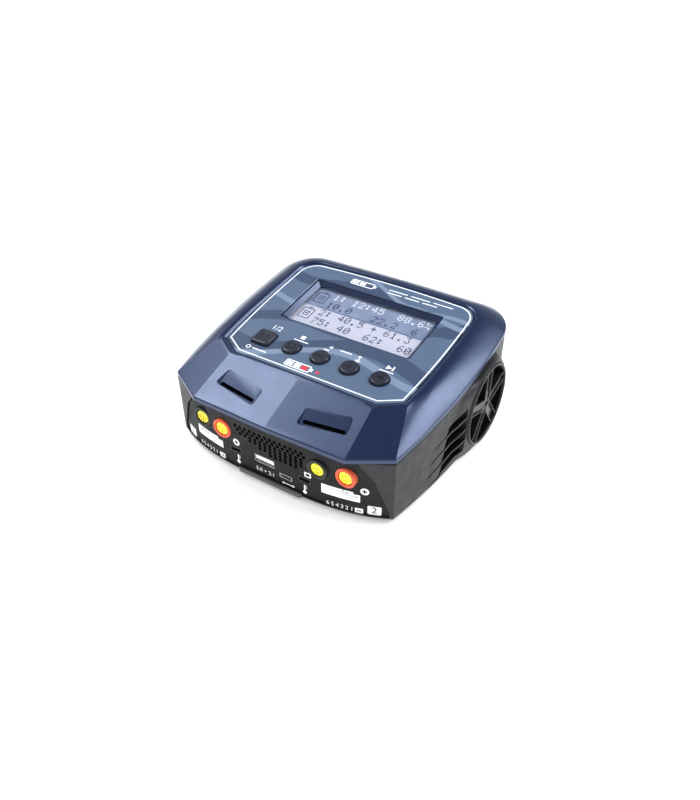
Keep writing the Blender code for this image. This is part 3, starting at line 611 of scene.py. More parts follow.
def slope_ring(share, sink=0.0):
    """Ring of the cover's outside between the lip (0) and the top of the ridge (1)."""
    ring = []
    low_line = inset(LIP, 0.5)
    for i, ((ax, ay), (bx, by)) in enumerate(zip(low_line, RIM)):
        bend = min(1 + 0.25 * max(ay - CORNER_Y, 0) / 10.3, 1.7)
        climb = 1 - (1 - share) ** bend
        low, high = rising(LIP_Z)(ay), rim_height(by)
        edge = min(share / 0.08, (1 - share) / 0.06, 1.0)
        dent = FACET_HOLLOW * hollow(i, len(LIP)) * math.sin(math.pi / 2 * edge)
        ring.append((ax + (bx - ax) * share, ay + (by - ay) * share + 0.4 * dent,
                     low + (high - low) * climb - 0.9 * dent - sink))
    return ring


def between(outline_a, outline_b, share):
    return [(ax + (bx - ax) * share, ay + (by - ay) * share)
            for (ax, ay), (bx, by) in zip(outline_a, outline_b)]


def cover_blank():
    rings = [raised(inset(LIP, 0.35), rising(SEAM_Z + GAP)), raised(LIP, rising(SEAM_Z + GAP + 0.35)),
             raised(LIP, rising(LIP_Z - 0.95)), raised(inset(LIP, 0.12), rising(LIP_Z - 0.4))]
    for share in (0.0, 0.02, 0.06, 0.12, 0.2, 0.3, 0.4, 0.5, 0.6, 0.7, 0.8, 0.88, 0.94):
        rings.append(slope_ring(share))
    rings.append(slope_ring(0.975, 0.02))
    # The ridge is rounded over, then falls into the recess.
    floor = rising(FACE_Z - RECESS_DEPTH)
    for share, drop in ((0.1, 0.05), (0.3, 0.2), (0.55, 0.65), (0.8, 1.3), (0.93, 1.7)):
        line = between(RIM, RECESS, share)
        rings.append([(x, y, max(rim_height(y) - drop, floor(y) + 0.12)) for x, y in line])
    rings.append(raised(RECESS, floor))
    wall = inset(BASE, WALL)
    inside = [raised(wall, rising(SEAM_Z + GAP)), raised(wall, rising(LIP_Z - 2.4)),
              raised(inset(RIM, 1.0), rising(FACE_Z - CEILING_DEPTH))]
    return stored("cover_shell", ring_loft(rings[::-1] + inside))


def window_outline(grow, height):
    """Round-cornered outline of the display window's slope at a height over the face."""
    taper = -height * 0.88 - grow
    half = WINDOW_HALF - taper
    front, back = on_face(WINDOW_Y[0] + taper), on_face(WINDOW_Y[1] - taper * 0.75)
    middle = (front + back) / 2
    return [(x, y + middle, height) for x, y in rounded(half, (back - front) / 2, 1.3, 3)]


def window_cutter(grow, levels):
    return on_control_face(ring_loft([window_outline(grow, level) for level in levels]))


def button_ring(index, reach, height, corner=BUTTON_CORNER):
    """Outline of a button at a height over the control face. The first button is square."""
    outline = polygon(48, reach) if index else rounded(reach, reach, corner, 4)
    return [(BUTTON_XS[index] + x, on_face(BUTTON_Y) + up, height) for x, up in outline]


def button_cutters(clearance, low, high, flare=0.0):
    """Five button openings, with an eased upper edge at the recess floor."""
    shapes = []
    for i in range(5):
        size = (BUTTON_RADIUS if i else SQUARE_HALF) + clearance
        levels = [(size, low), (size, high)]
        if flare:
            levels[1:] = [(size, -RECESS_DEPTH - flare), (size + flare, -RECESS_DEPTH + 0.01),
                          (size + flare + 0.02, high)]
        shapes.append(on_control_face(ring_loft([button_ring(i, reach, z) for reach, z in levels])))
    return shapes


def slope_height(x, y):
    """Height of the cover's front slope, without its hollow."""
    share = abs(x) / KINK_X
    lip_y = -68.35 + 0.95 * share
    rim_y = -38.0 - 0.8 * share
    along = (y - lip_y) / (rim_y - lip_y)
    return rising(LIP_Z)(lip_y) * (1 - along) + rim_height(rim_y) * along


def round_corners(points, radius, steps=4):
    """Outline with each corner rounded by a quadratic curve that starts radius away from it."""
    soft = []
    for i, point in enumerate(points):
        here, before = Vector(point), Vector(points[i - 1])
        after = Vector(points[(i + 1) % len(points)])
        start = here + (before - here).normalized() * radius
        end = here + (after - here).normalized() * radius
        for k in range(steps + 1):
            t = k / steps
            soft.append(tuple(start * (1 - t) ** 2 + here * (2 * t * (1 - t)) + end * t ** 2))
    return soft


RAMP = [(12.8, -51.0), (37.9, -47.0), (39.0, -55.9), (14.0, -59.8)]
SLOT = [(14.9, -55.9), (37.5, -52.3), (38.2, -55.3), (15.4, -58.9)]
RAMP_SLOPE = 1.7


def slope_scoops():
    """Cutters of the two hooded slots: a ramp that sinks into the slope, then the slot."""
    ramps, slots = [], []
    for side in (1, -1):
        top_line = (Vector(RAMP[0]), Vector(RAMP[1]))
        run = (top_line[1] - top_line[0]).normalized()
        down = Vector((run.y, -run.x))
        reach = (Vector(RAMP[3]) - top_line[0]).dot(down)
        rings = []
        for grow, lift in ((0.0, 0.0), (0.9, 1.1), (0.9, 30.0)):
            ring = []
            for x, y in round_corners(RAMP, 1.6):
                point = Vector((x, y))
                deep = max((point - top_line[0]).dot(down), 0) / reach
                middle = Vector((26.0, -53.4))
                out = point + (point - middle).normalized() * grow * deep
                ring.append((side * out.x, out.y, slope_height(x, y) - RAMP_SLOPE * deep - 0.35 + lift))
            rings.append(ring)
        ramps.append(ring_loft(rings))
        # The slot leans back as it goes down, so its rear wall stays out of sight.
        slot = round_corners(SLOT, 0.6)
        mouth = slope_height(26.0, -55.5) - RAMP_SLOPE
        rings = [[(side * x, y + 1.2 * (mouth - z), z) for x, y in slot] for z in (30, 60)]
        slots.append(ring_loft(rings))
    return tool(*ramps), tool(*slots)


def crease(made, index):
    """Keeps the edge that climbs the front slope from outline point index crisp, on both sides."""
    (ax, ay), (bx, by) = inset(LIP, 0.5)[index], RIM[index]
    start, run = Vector((ax, ay)), Vector((bx - ax, by - ay))
    for edge in made.data.edges:
        ends = [made.data.vertices[i].co / MM for i in edge.vertices]
        if (ends[0] - ends[1]).xy.length < 0.05:
            continue
        away = [(Vector((abs(end.x), end.y)) - start).cross(run.normalized()) for end in ends]
        inside = all(ay - 0.1 < end.y < by + 0.1 for end in ends)
        if inside and max(map(abs, away)) < 0.02:
            edge.use_edge_sharp = True


def slot_shade(side):
    """Black sheet under a hooded slot: painted shadow, which hides the parts below it."""
    reach = sorted((side * 12.5, side * 40.0))
    return box(reach, (-61.0, -41.0), (38.9, 39.4))


def cover():
    # Painted shadow: black sheets under both hooded slots.
    stored("slot_shade", merged([slot_shade(1), slot_shade(-1)]), "mesh_plastic")
    shell = cover_blank()
    window = window_cutter(0, (-5.0, -1.15, -0.79, 1.0))
    openings = tool(window, *button_cutters(GAP, -6.0, 2.0, 0.25))
    cut(shell, openings, *slope_scoops())
    finished(shell, "cover_paint", replaces=["top_cover"], angle=24)
    for index in (0, FRONT_STEPS[0], sum(FRONT_STEPS)):
        crease(shell, index)


# ---------------------------------------------------------------- control face


def film():
    """Overlay sheet, its white border line and its printed marks."""
    outline = inset(RECESS, GAP)
    sheet = stored("overlay_sheet", prism(outline, rising(FACE_Z - 0.5), rising(FACE_Z)))
    cut(sheet, tool(window_cutter(0.55, (-2.0, 1.0)), *button_cutters(0.55, -2.0, 2.0)))
    finished(sheet, "overlay_film", replaces=["overlay_panel"])
    border()
    face_marks()


INK = 0.03


def ribbon(line, half_width):
    """Thin printed band along a closed line."""
    return frame_of(inset(line, -half_width), inset(line, half_width))


def border():
    """White border line: a straight front with cut corners, bowed sides, round rear corners."""
    front = straight_front((0, -33.0), (42.2, -33.0), (53.0, -26.7))
    line = plan(front, (55.0, 18), 54.6, 10.5, 52.7, 1.5)
    line = [(x, on_face(y)) for x, y in line]
    stored("border_line", on_control_face(ribbon(line, 0.36)), "white_ink")


def plate(outline):
    """Thin printed shape from a closed outline."""
    return prism(outline, 0.0, INK)


def moved(bm, x, y):
    bmesh.ops.translate(bm, verts=bm.verts, vec=(x, y, 0))
    return bm


def bar(width, height, x=0.0, y=0.0, radius=0.0):
    half_x, half_y = width / 2, height / 2
    shape = [(-half_x, -half_y), (half_x, -half_y), (half_x, half_y), (-half_x, half_y)]
    if radius:
        shape = rounded(half_x, half_y, radius, 3)
    return moved(plate(shape), x, y)


def frame_of(outer, inner):
    """Printed ring between two outlines of equal length."""
    rings = [[(*o, 0.0), (*i, 0.0), (*i, INK), (*o, INK)] for o, i in zip(outer, inner)]
    return ring_loft(rings, closed=True)


def box_frame(width, height, stroke, radius=0.4):
    inner = rounded(width / 2 - stroke, height / 2 - stroke, radius * 0.5)
    return frame_of(rounded(width / 2, height / 2, radius), inner)


def circle_frame(radius, stroke):
    return frame_of(polygon(32, radius), polygon(32, radius - stroke))


def triangle(size, direction, x, y):
    back = -direction * size * 0.6
    points = [(direction * size, 0.0), (back, size * 0.8), (back, -size * 0.8)]
    return moved(plate(points if direction > 0 else points[::-1]), x, y)


def text_shape(text, size):
    """Flat mesh of digits or signs, centred on the origin."""
    curve = bpy.data.curves.new("digits", "FONT")
    curve.body = text
    curve.size = size
    curve.align_x = "CENTER"
    curve.align_y = "CENTER"
    curve.extrude = INK / 2
    curve.resolution_u = 3
    helper = bpy.data.objects.new("digits", curve)
    bpy.context.scene.collection.objects.link(helper)
    bpy.context.view_layer.update()
    graph = bpy.context.evaluated_depsgraph_get()
    mesh = bpy.data.meshes.new_from_object(helper.evaluated_get(graph))
    bpy.data.objects.remove(helper)
    bm = bmesh.new()
    bm.from_mesh(mesh)
    bmesh.ops.remove_doubles(bm, verts=bm.verts, dist=1e-5)
    bmesh.ops.translate(bm, verts=bm.verts, vec=(0, 0, INK / 2))
    return bm


def face_print(name, shapes, surface, height=0.0):
    bm = merged(shapes)
    for vert in bm.verts:
        vert.co.y = on_face(vert.co.y)
        vert.co.z += height
    stored(name, on_control_face(bm), surface)


def face_marks():
    """Generic marks by the buttons: digits, arrows and plain strokes, with no lettering."""
    xs = BUTTON_XS
    white = [moved(text_shape("1/2", 5.2), xs[0] + 1.0, -9.4)]
    # Stop: a square; decrease and increase: signs with arrows; start: an arrow into a stroke.
    white += [bar(2.6, 2.6, xs[1] + 0.6, -9.6, 0.3), bar(9.0, 0.7, xs[1] + 1.2, -12.6, 0.2)]
    white += [bar(3.2, 0.8, xs[2] - 0.6, -12.4), triangle(1.3, -1, xs[2] + 0.6, -9.6)]
    white += [bar(3.2, 0.8, xs[3] + 0.6, -12.4), bar(0.8, 3.2, xs[3] + 0.6, -12.4)]
    white += [triangle(1.3, 1, xs[3] + 0.4, -9.4), bar(7.0, 0.7, (xs[2] + xs[3]) / 2 + 0.6, -9.5, 0.2)]
    white += [triangle(1.9, 1, xs[4] - 0.4, -9.6), bar(0.8, 3.4, xs[4] + 2.2, -9.6)]
    white.append(bar(8.0, 0.7, xs[4], -12.8, 0.2))
    # A row of strokes at the rear, and a battery sign with three cells at the front.
    white += [bar(12.0, 0.7, 8.0 + 14.0 * i, 47.8, 0.2) for i in range(3)]
    white += [bar(9.0, 0.7, 7.0 + 11.0 * i, 45.2, 0.2) for i in range(3)]
    white += [moved(box_frame(15.0, 4.6, 0.7, 0.9), -14.5, 46.2)]
    white += [bar(1.0, 2.2, -6.3, 46.2), bar(3.6, 2.2, -19.0, 46.2, 0.2), bar(3.6, 2.2, -14.5, 46.2, 0.2)]
    white += [moved(box_frame(15.5, 4.8, 0.7, 0.9), -7.0, -29.4), bar(1.0, 2.2, 1.6, -29.4)]
    white += [bar(3.6, 2.6, -11.8, -29.4, 0.2), bar(3.6, 2.6, -7.3, -29.4, 0.2)]
    white += [bar(9.0, 0.7, -32.6, -28.6, 0.2), moved(circle_frame(1.4, 0.5), -39.6, -28.6)]
    face_print("face_marks", white, "white_ink")
    face_print("face_marks_red", [bar(3.6, 2.6, -2.8, -29.4, 0.2), triangle(1.5, 1, 5.2, -29.4)], "red_ink")


# Distances in from a button's edge and down from its top: a rounded edge, then a shallow dish.
BUTTON_TOP = ((0, 0.7), (0.06, 0.42), (0.22, 0.2), (0.45, 0.06), (0.75, 0), (1.3, 0.03), (2.0, 0.08),
              (3.0, 0.12), (4.2, 0.13))


def buttons():
    """Moulded caps with a shallow dish and a raised sign, over the flange and stem of each. The sign's dark
    colour is painted shade, standing for the shadow in engraved strokes.
    """
    names = ("channel", "stop", "decrease", "increase", "start")
    signs = {
        "channel": [bar(0.45, 4.6, -1.6), bar(1.6, 0.45, -2.2, -1.4), bar(0.45, 4.6, 1.6),
                    bar(1.6, 0.45, 2.2, 1.4)],
        "stop": [box_frame(4.2, 4.2, 0.45, 0.3)],
        "decrease": [bar(4.4, 0.5)],
        "increase": [bar(4.4, 0.5), bar(0.5, 4.4)],
        "start": [bar(0.45, 4.4, 1.7), bar(3.2, 0.45, 0.0, 0.0), triangle(1.1, 1, 0.4, 0)],
    }
    top = BUTTON_PROUD
    for i, name in enumerate(names):
        size = BUTTON_RADIUS if i else SQUARE_HALF
        # The stem and the flange under the cover, then the cap.
        levels = [(1.6, -7.5), (1.6, -4.5), (6.2, -4.5), (6.2, -3.5), (size, -3.5)]
        levels += [(size - inward, top - drop) for inward, drop in BUTTON_TOP]
        rings = [button_ring(i, reach, z, BUTTON_CORNER * reach / size) for reach, z in levels]
        body = f"{name}_key"
        cap = on_control_face(ring_loft(rings))
        stored(f"{name}_cap", cap, "button_plastic", body, [f"{name}_button"], 40)
        # The dark sign is painted shade standing for engraved strokes.
        sign = merged(signs[name])
        bmesh.ops.translate(sign, verts=sign.verts, vec=(BUTTON_XS[i], on_face(BUTTON_Y), top - 0.08))
        stored(f"{name}_sign", on_control_face(sign), "sign_painted_shade", body)


# ---------------------------------------------------------------- display


# Rows of five dots, from the top, as bits.
DIGITS = {
    "0": (14, 17, 19, 21, 25, 17, 14), "1": (4, 12, 4, 4, 4, 4, 14), "2": (14, 17, 1, 2, 4, 8, 31),
    "3": (31, 2, 4, 2, 1, 17, 14), "4": (2, 6, 10, 18, 31, 2, 2), "5": (31, 16, 30, 1, 1, 17, 14),
    "6": (6, 8, 16, 30, 17, 17, 14), "7": (31, 1, 2, 4, 8, 8, 8), "8": (14, 17, 17, 14, 17, 17, 14),
    "9": (14, 17, 17, 15, 1, 2, 12), ".": (0, 0, 0, 0, 0, 12, 12), ":": (0, 12, 12, 0, 12, 12, 0),
    "+": (0, 4, 4, 31, 4, 4, 0), "%": (24, 25, 2, 4, 8, 19, 3),
}
LINES = ("1: 12:45  88.6%", "10.0   22.2  6 ", "2: 40.5 + 61.3 ", "75: 40  62:  60")
LCD_LEVEL = -4.78
LCD_START = (-26.0, 35.6)
LCD_STEP = (4.2, 7.7)
DOT = 0.66
DOT_RISE = DOT * 1.15


def display():
    """Character display behind a clear window, with generic readings in dot characters."""
    for row, line in enumerate(LINES):
        dots = []
        for column, sign in enumerate(line):
            for down, bits in enumerate(DIGITS.get(sign, ())):
                for across in range(5):
                    if bits >> (4 - across) & 1:
                        x = LCD_START[0] + column * LCD_STEP[0] + across * DOT
                        y = on_face(LCD_START[1] - row * LCD_STEP[1] - down * DOT_RISE)
                        dots.append(box((x, x + DOT), (y, y + DOT), (LCD_LEVEL, LCD_LEVEL + INK)))
        stored(f"display_line_{row + 1}", on_control_face(merged(dots)), "lcd_ink" if row else "white_ink")
    icons = []
    for y in (29.6, 14.2):
        for frame_size in ((7.4, 9.0, 0.55, 0.3), (3.4, 4.0, 0.5, 0.2)):
            icons.append(moved(box_frame(*frame_size), -32.6, y))
        icons += [bar(3.0, 0.6, -32.6, y + 5.3), bar(1.0, 1.0, -32.6, y)]
    icons.append(bar(66.5, 0.35, 3.2, 21.9))
    face_print("display_icons", icons, "lcd_ink", LCD_LEVEL)


# ---------------------------------------------------------------- front panel


PANEL_LOW = 3.9
PANEL_HIGH = 35.9
PANEL_SHOULDER = 49.4
PANEL_END = (64.3, 6.9)
PANEL_KNEE = (57.6, 26.0)
VENT_PITCH = 3.1
VENT_ROWS = [(-20.2, 21.6), (-18.7, 21.6), (-17.2, 20.9), (-11.0, 20.0), (-4.9, 19.6), (1.3, 18.6)]


def panel_top(x):
    (end_x, end_z), (knee_x, knee_z) = PANEL_END, PANEL_KNEE
    if x > knee_x:
        return knee_z - (x - knee_x) * (knee_z - end_z) / (end_x - knee_x)
    return min(PANEL_HIGH, knee_z + (knee_x - x) * (PANEL_HIGH - knee_z) / (knee_x - PANEL_SHOULDER))


def facing_front(outline, near, far):
    """Prism of an (x, z) outline between two y values."""
    return ring_loft([[(x, y, z) for x, z in outline] for y in (near, far)])


def at_front(outline, x, z, near=-72.0, far=-58.0):
    return facing_front([(x + px, z + pz) for px, pz in outline], near, far)


def vent_holes():
    holes = []
    for row, (left, right) in enumerate(VENT_ROWS):
        for i in range(int((right - left) / VENT_PITCH + 1.2)):
            x, z = left + VENT_PITCH * i, 31.0 - 2.05 * row
            holes.append(at_front(polygon(8, 1.05, math.pi / 8), x, z))
    return holes


def header_opening(grow, grow_z):
    """Outline of a balance port: a rectangle whose upper right corner is stepped down."""
    x, z = 9.95 + grow, 3.0 + grow_z
    return [(-x, -z), (x, -z), (x, 1.7 + grow_z), (6.65 + grow, 1.7 + grow_z), (6.65 + grow, z), (-x, z)]


def fascia():
    xs = sorted({*[1.6 * i for i in range(40)], PANEL_END[0], PANEL_KNEE[0], PANEL_SHOULDER})
    rings = []
    for x in [-x for x in xs[:0:-1]] + xs:
        y, high = front_curve(x), panel_top(abs(x))
        back = y + 2.0
        edge = 0.35
        rings.append([(x, y, PANEL_LOW + edge), (x, y, high - edge), (x, y + edge, high), (x, back, high),
                      (x, back, PANEL_LOW), (x, y + edge, PANEL_LOW)])
    panel = stored("fascia", ring_loft(rings))
    bore = SOCKET_RADIUS + GAP
    sockets = [placed(rod(bore, -10, 10, 48), (x, -64, SOCKET_Z), "Y") for x in SOCKETS.values()]
    # The openings of the large and the small USB port, then of the headers and temperature ports.
    ports = [at_front(rounded(6.5, 2.95, 0.3), -3.2, 14.9), at_front(rounded(4.1, 1.6, 0.9), 10.2, 10.9)]
    for side in (1, -1):
        ports.append(at_front(header_opening(0.15, 0.15), side * HEADER_X, HEADER_Z))
        ports.append(at_front(rounded(4.2, 2.0, 0.3), side * 21.5, 14.3))
    cut(panel, tool(*sockets, *ports), tool(*vent_holes()))
    finished(panel, "panel_plastic", replaces=["front_panel"])
    fascia_marks()


BEND_STEP = 1.1


def panel_print(name, shapes, surface):
    """Printed shapes drawn in (x, z), bent onto the curved front panel."""
    bm = merged(shapes)
    for i in range(-60, 61):
        parts = bm.verts[:] + bm.edges[:] + bm.faces[:]
        bmesh.ops.bisect_plane(bm, geom=parts, dist=1e-4, plane_co=(BEND_STEP * i, 0, 0), plane_no=(1, 0, 0))
    for vert in bm.verts:
        x, z, lift = vert.co
        vert.co = (x, front_curve(x) - lift - 0.004, z)
    stored(name, bm, surface)


def thermometer(x, z):
    bulb = moved(plate(polygon(20, 1.15)), x, z - 2.6)
    stem = bar(0.85, 4.4, x, z + 0.1, 0.4)
    return [bulb, stem, bar(1.2, 0.35, x + 0.9, z + 1.4), bar(1.2, 0.35, x + 0.9, z + 0.3)]


def fascia_marks():
    """Polarity signs, cell digits, thermometers and channel numbers, some in black on white."""
    white, black = [], []
    for x, z in ((-20.6, 19.7), (53.0, 18.4)):
        white.append(moved(plate(polygon(32, 2.1)), x, z))
        black += [bar(2.3, 0.75, x, z), bar(0.75, 2.3, x, z)]
    for x, z in ((-32.0, 5.3), (50.4, 5.2)):
        white.append(moved(plate(rounded(2.0, 1.6, 0.3)), x, z))
        black.append(bar(2.2, 0.6, x, z))
    white.append(moved(box_frame(3.8, 3.2, 0.8, 0.3), 23.5, 18.5))
    white += thermometer(-20.2, 9.6) + thermometer(21.5, 9.0)
    for start in (-48.8, 34.4):
        for i, digit in enumerate("654321"):
            white.append(moved(text_shape(digit, 3.7), start + 2.5 * i, 5.2))
    white += [moved(text_shape("5.0 + 2.1", 3.3), -2.6, 8.6)]
    white += [bar(5.0, 0.45, 11.6, 6.6), triangle(1.0, 1, 14.6, 6.6), bar(1.1, 1.1, 8.6, 6.6)]
    for x, number in ((57.6, "2"), (-57.6, "1")):
        white.append(moved(plate(rounded(3.2, 2.75, 0.8)), x, 6.9))
        black.append(moved(text_shape(number, 5.6), x, 6.9))
    panel_print("panel_marks", white, "mark_ink")
    for shape in black:
        bmesh.ops.translate(shape, verts=shape.verts, vec=(0, 0, INK * 1.5))
    panel_print("panel_marks_black", black, "panel_plastic")


def banana_sockets():
    for name, x in SOCKETS.items():
        positive = name.endswith("positive")
        centre = (x, front_curve(x), SOCKET_Z)
        outer, proud = SOCKET_RADIUS, SOCKET_PROUD
        profile = [(4.0, -14), (outer, -14)]
        # A rounded outer edge, then a shallow groove round the face.
        for radius, drop in ((outer, 0.35), (outer - 0.1, 0.12), (outer - 0.35, 0), (4.75, 0), (4.65, 0.15),
                             (4.5, 0.15), (4.4, 0), (4.15, 0), (4.0, 0.15)):
            profile.append((radius, proud - drop))
        stored(f"socket_ring_{name}", placed(turned(profile, 48, closed=True), centre, "Y"),
               "red_plastic" if positive else "black_nylon", replaces=[f"socket_insulator_{name}"])
        rim = proud - 0.4
        sleeve = [(0, -20), (3.7, -20), (3.7, rim - 0.4), (3.6, rim - 0.12), (3.35, rim), (2.4, rim),
                  (2.15, rim - 0.15), (2.05, rim - 0.4), (2.05, -12), (0, -12)]
        contact = stored(f"socket_sleeve_{name}", placed(turned(sleeve, 48), centre, "Y"))
        cuts = [placed(block((0, 0, rim), size), centre, "Y") for size in ((0.55, 9, 1.0), (9, 0.55, 1.0))]
        cut(contact, tool(cuts[0]), tool(cuts[1]))
        finished(contact, "gold_face", replaces=[f"socket_contact_{name}"])
        # Four sprung leaves line the bore just inside its mouth.
        leaves = []
        for i in range(4):
            start = math.tau * i / 4 + 0.12
            arc = [start + (math.tau / 4 - 0.24) * k / 8 for k in range(9)]
            leaf = []
            for radius, angles in ((1.95, arc), (0.3, arc[::-1])):
                leaf += [(radius * math.cos(a), radius * math.sin(a)) for a in angles]
            leaves.append(prism(leaf, -3.0, rim - 0.35))
        stored(f"socket_leaves_{name}", placed(merged(leaves), centre, "Y"), "gold_face")


def balance_headers():
    """Nylon headers whose front follows the curved panel, with seven pins on a 2.5 mm pitch."""
    for name, side in (("a", -1), ("b", 1)):
        x = side * HEADER_X
        back = front_curve(HEADER_X + 9.95) - 1.2 + 8.0
        outline = header_opening(0.0, 0.0)
        shell = stored(f"balance_housing_{name}", at_front(outline, x, HEADER_Z, -70, back))
        cut(shell, tool(at_front(header_opening(-0.85, -0.8), x, HEADER_Z, -75, back - 1.8)))
        rings = []
        for i in range(13):
            here = x - 11 + 22 * i / 12
            face = front_curve(here) + 0.2
            rings.append([(here, -80, 5), (here, face, 5), (here, face, 20), (here, -80, 20)])
        keys = [block((x + k * 2.5 - 1, back - 8, HEADER_Z + 2.6), (0.9, 9, 1.4)) for k in (-2, 1)]
        cut(shell, tool(ring_loft(rings)), tool(*keys))
        finished(shell, "white_nylon", replaces=[f"balance_header_{name}"])
        pins = [(x + 2.5 * (i - 3), back - 4.4, HEADER_Z - 0.3) for i in range(7)]
        pins = [block(centre, (0.64, 5.0, 0.64)) for centre in pins]
        stored(f"balance_pins_{name}", merged(pins), "steel")


def usb_ports():
    """Contacts on the white tongue of the large port."""
    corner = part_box("usb_tongue")[0] / MM
    y, z = corner.y + 4.2, corner.z - 0.04
    contacts = [block((-3.2 + 2.4 * (i - 1.5), y, z), (1.0, 6.5, 0.08)) for i in range(4)]
    stored("usb_contacts", merged(contacts), "gold")


# ---------------------------------------------------------------- base


GILLS = [(6.6, 13.6), (14.8, 21.2), (22.4, 28.6), (29.8, 34.8)]
GILL_END = 1.5
FIN_RAKE = 0.13
BLADE_RAKE = 0.8
# Share of a gill's length, its depth there, and the share of its full height.
GILL_STAGES = ((0.0, -0.4, 0.1), (0.2, 0.35, 0.14), (0.47, 1.3, 0.2), (0.53, 5.6, 0.97), (0.75, 6.4, 1.0),
               (1.0, 6.8, 1.0))


def gill_cutters(side):
    """Gills ahead of the wheel: thin grooves that run back into deep openings, raked downwards."""
    cutters = []
    for i, (low, high) in enumerate(GILLS):
        front = -38.0 + 3.0 * i
        rings = []
        for t, depth, share in GILL_STAGES:
            y = front + (GILL_END - front) * t
            wall = 73.3 - 6.8 * ((y - 15) / 71.1) ** 2
            bottom = low - FIN_RAKE * (GILL_END - y)
            top = bottom + (high - low) * share
            inner, outer = side * (wall - depth), side * 82
            sink, climb = BLADE_RAKE * max(depth, 0.0), BLADE_RAKE * (82 - wall)
            rings.append([(inner, y, max(bottom - sink, 2.7)), (outer, y, bottom + climb),
                          (outer, y, top + climb), (inner, y, max(top - sink, 3.2))])
        cutters.append(ring_loft(rings))
    return cutters


def wheel_shape(shape, side):
    """Shape drawn about the wheel's axis, with local Z pointing out of the case."""
    if side < 0:
        bmesh.ops.transform(shape, matrix=Matrix.Scale(-1, 4, (0, 0, 1)), verts=shape.verts)
    return placed(shape, (0, *WHEEL), "X")


WHEEL_BOSS = 24.0
WHEEL_BORE = 23.2
WHEEL_SEAT = 69.6
FLARE_START = 24.25


def wheel_flare(side):
    """Swelling of a side wall up to the wheel: long towards the front, and below the seam."""
    room = rising(SEAM_Z)(WHEEL[0]) - WHEEL[1] - 0.7
    rings = []
    for height, share in ((70.0, 1.0), (72.0, 1.0), (73.6, 0.74), (74.7, 0.48), (75.4, 0.24), (75.75, 0.0)):
        ring = []
        for i in range(90):
            angle = math.tau * (i + 0.37) / 90
            full = 1.0 + 11.0 * (1 - math.cos(angle)) / 2
            climb = math.sin(angle) - RISE * math.cos(angle)
            if climb * (FLARE_START + full) > room:
                full = max(0.05, room / climb - FLARE_START)
            reach = FLARE_START + share * full
            ring.append((reach * math.cos(angle), reach * math.sin(angle), height))
        rings.append(ring)
    return wheel_shape(ring_loft(rings), side)


def fascia_opening(grow):
    half = [(PANEL_END[0] + grow, PANEL_LOW - grow), (PANEL_END[0] + grow, PANEL_END[1]),
            (PANEL_KNEE[0] + grow, PANEL_KNEE[1]), (PANEL_SHOULDER + grow / 2, PANEL_HIGH + grow)]
    return half + [(-x, z) for x, z in reversed(half)]


SCREWS = [(57.5, -45.0), (57.5, 55.0)]
FEET = [(48.0, -51.0), (48.0, 49.0)]


def both_wheels(profile):
    """Turned shapes about both wheels' axes."""
    return tool(*[wheel_shape(turned(profile, 96), side) for side in (1, -1)])


def base():
    inner = inset(BASE, WALL)
    seam, below_seam = rising(SEAM_Z), rising(SEAM_Z - 0.35)
    rings = [raised(inset(BASE, by), z) for by, z in ((1.3, 2.0), (0.6, 2.25), (0.15, 2.9))]
    rings += [raised(BASE, 3.8), raised(BASE, below_seam), raised(inset(BASE, 0.3), seam)]
    rings += [raised(inner, seam), raised(inner, 3.6)]
    shell = stored("base_case", ring_loft(rings))
    flares = tool(wheel_flare(1), wheel_flare(-1))
    around = (-90, 90)
    cut(flares, tool(box(around, around, (below_seam, 90))), tool(box(around, around, (-30, 2.3))))
    boss = [(0, 69.0), (WHEEL_BOSS, 69.0), (WHEEL_BOSS, 75.7), (WHEEL_BOSS - 0.2, 76.0), (0, 76.0)]
    combined(shell, "UNION", flares, both_wheels(boss))
    bore = [(0, 64), (21.0, 64), (21.0, WHEEL_SEAT), (WHEEL_BORE, WHEEL_SEAT), (WHEEL_BORE, 80), (0, 80)]
    bores = both_wheels(bore)
    wells, vents = [], []
    for side in (1, -1):
        wells += [placed(rod(3.3, 0, 5.2), (side * x, y, 0)) for x, y in SCREWS]
        wells += [placed(rod(5.4, 0, 2.8), (side * x, y, 0)) for x, y in FEET]
        for i in range(9):
            vents.append(box((side * 12 - 9, side * 12 + 9), (-26 + 5.5 * i, -23.8 + 5.5 * i), (0, 6)))
    cut(shell, bores, tool(*wells), tool(*vents), tool(*gill_cutters(1), *gill_cutters(-1)))
    rear = [(50.0, 6.0), (50.0, 42.0), (-50.0, 42.0), (-50.0, 6.0)]
    cut(shell, tool(facing_front(fascia_opening(GAP), -80, -50)), tool(facing_front(rear, 60, 80)))
    finished(shell, "case_plastic", replaces=["base_shell"], angle=26)
    sill = [(-20.0, -66.9), (-18.8, -68.3), (18.8, -68.3), (20.0, -66.9)]
    softened(stored("front_sill", prism(sill, 2.2, 4.9), "sill_plastic"), 0.3)
    for name, side in (("right", 1), ("left", -1)):
        bars = [block((side * 66.2, 2.2 * i - 24, 20), (0.5, 0.5, 32)) for i in range(12)]
        bars += [block((side * 66.2, -11.5, 5 + 2.2 * i), (0.5, 26, 0.5)) for i in range(15)]
        stored(f"gill_screen_{name}", merged(bars), "mesh_plastic")


# ---------------------------------------------------------------- side grilles


# Radius, half width, and heights of the ribs and of the floor between them.
SPOKE = ((1.6, 1.2, 76.0, 75.9), (4.6, 3.2, 76.1, 75.5), (9.0, 3.2, 76.15, 75.2), (15.0, 3.2, 76.2, 75.1),
         (22.2, 3.3, 76.3, 75.1))
SPOKE_BACK = 72.7
RIB = 0.6


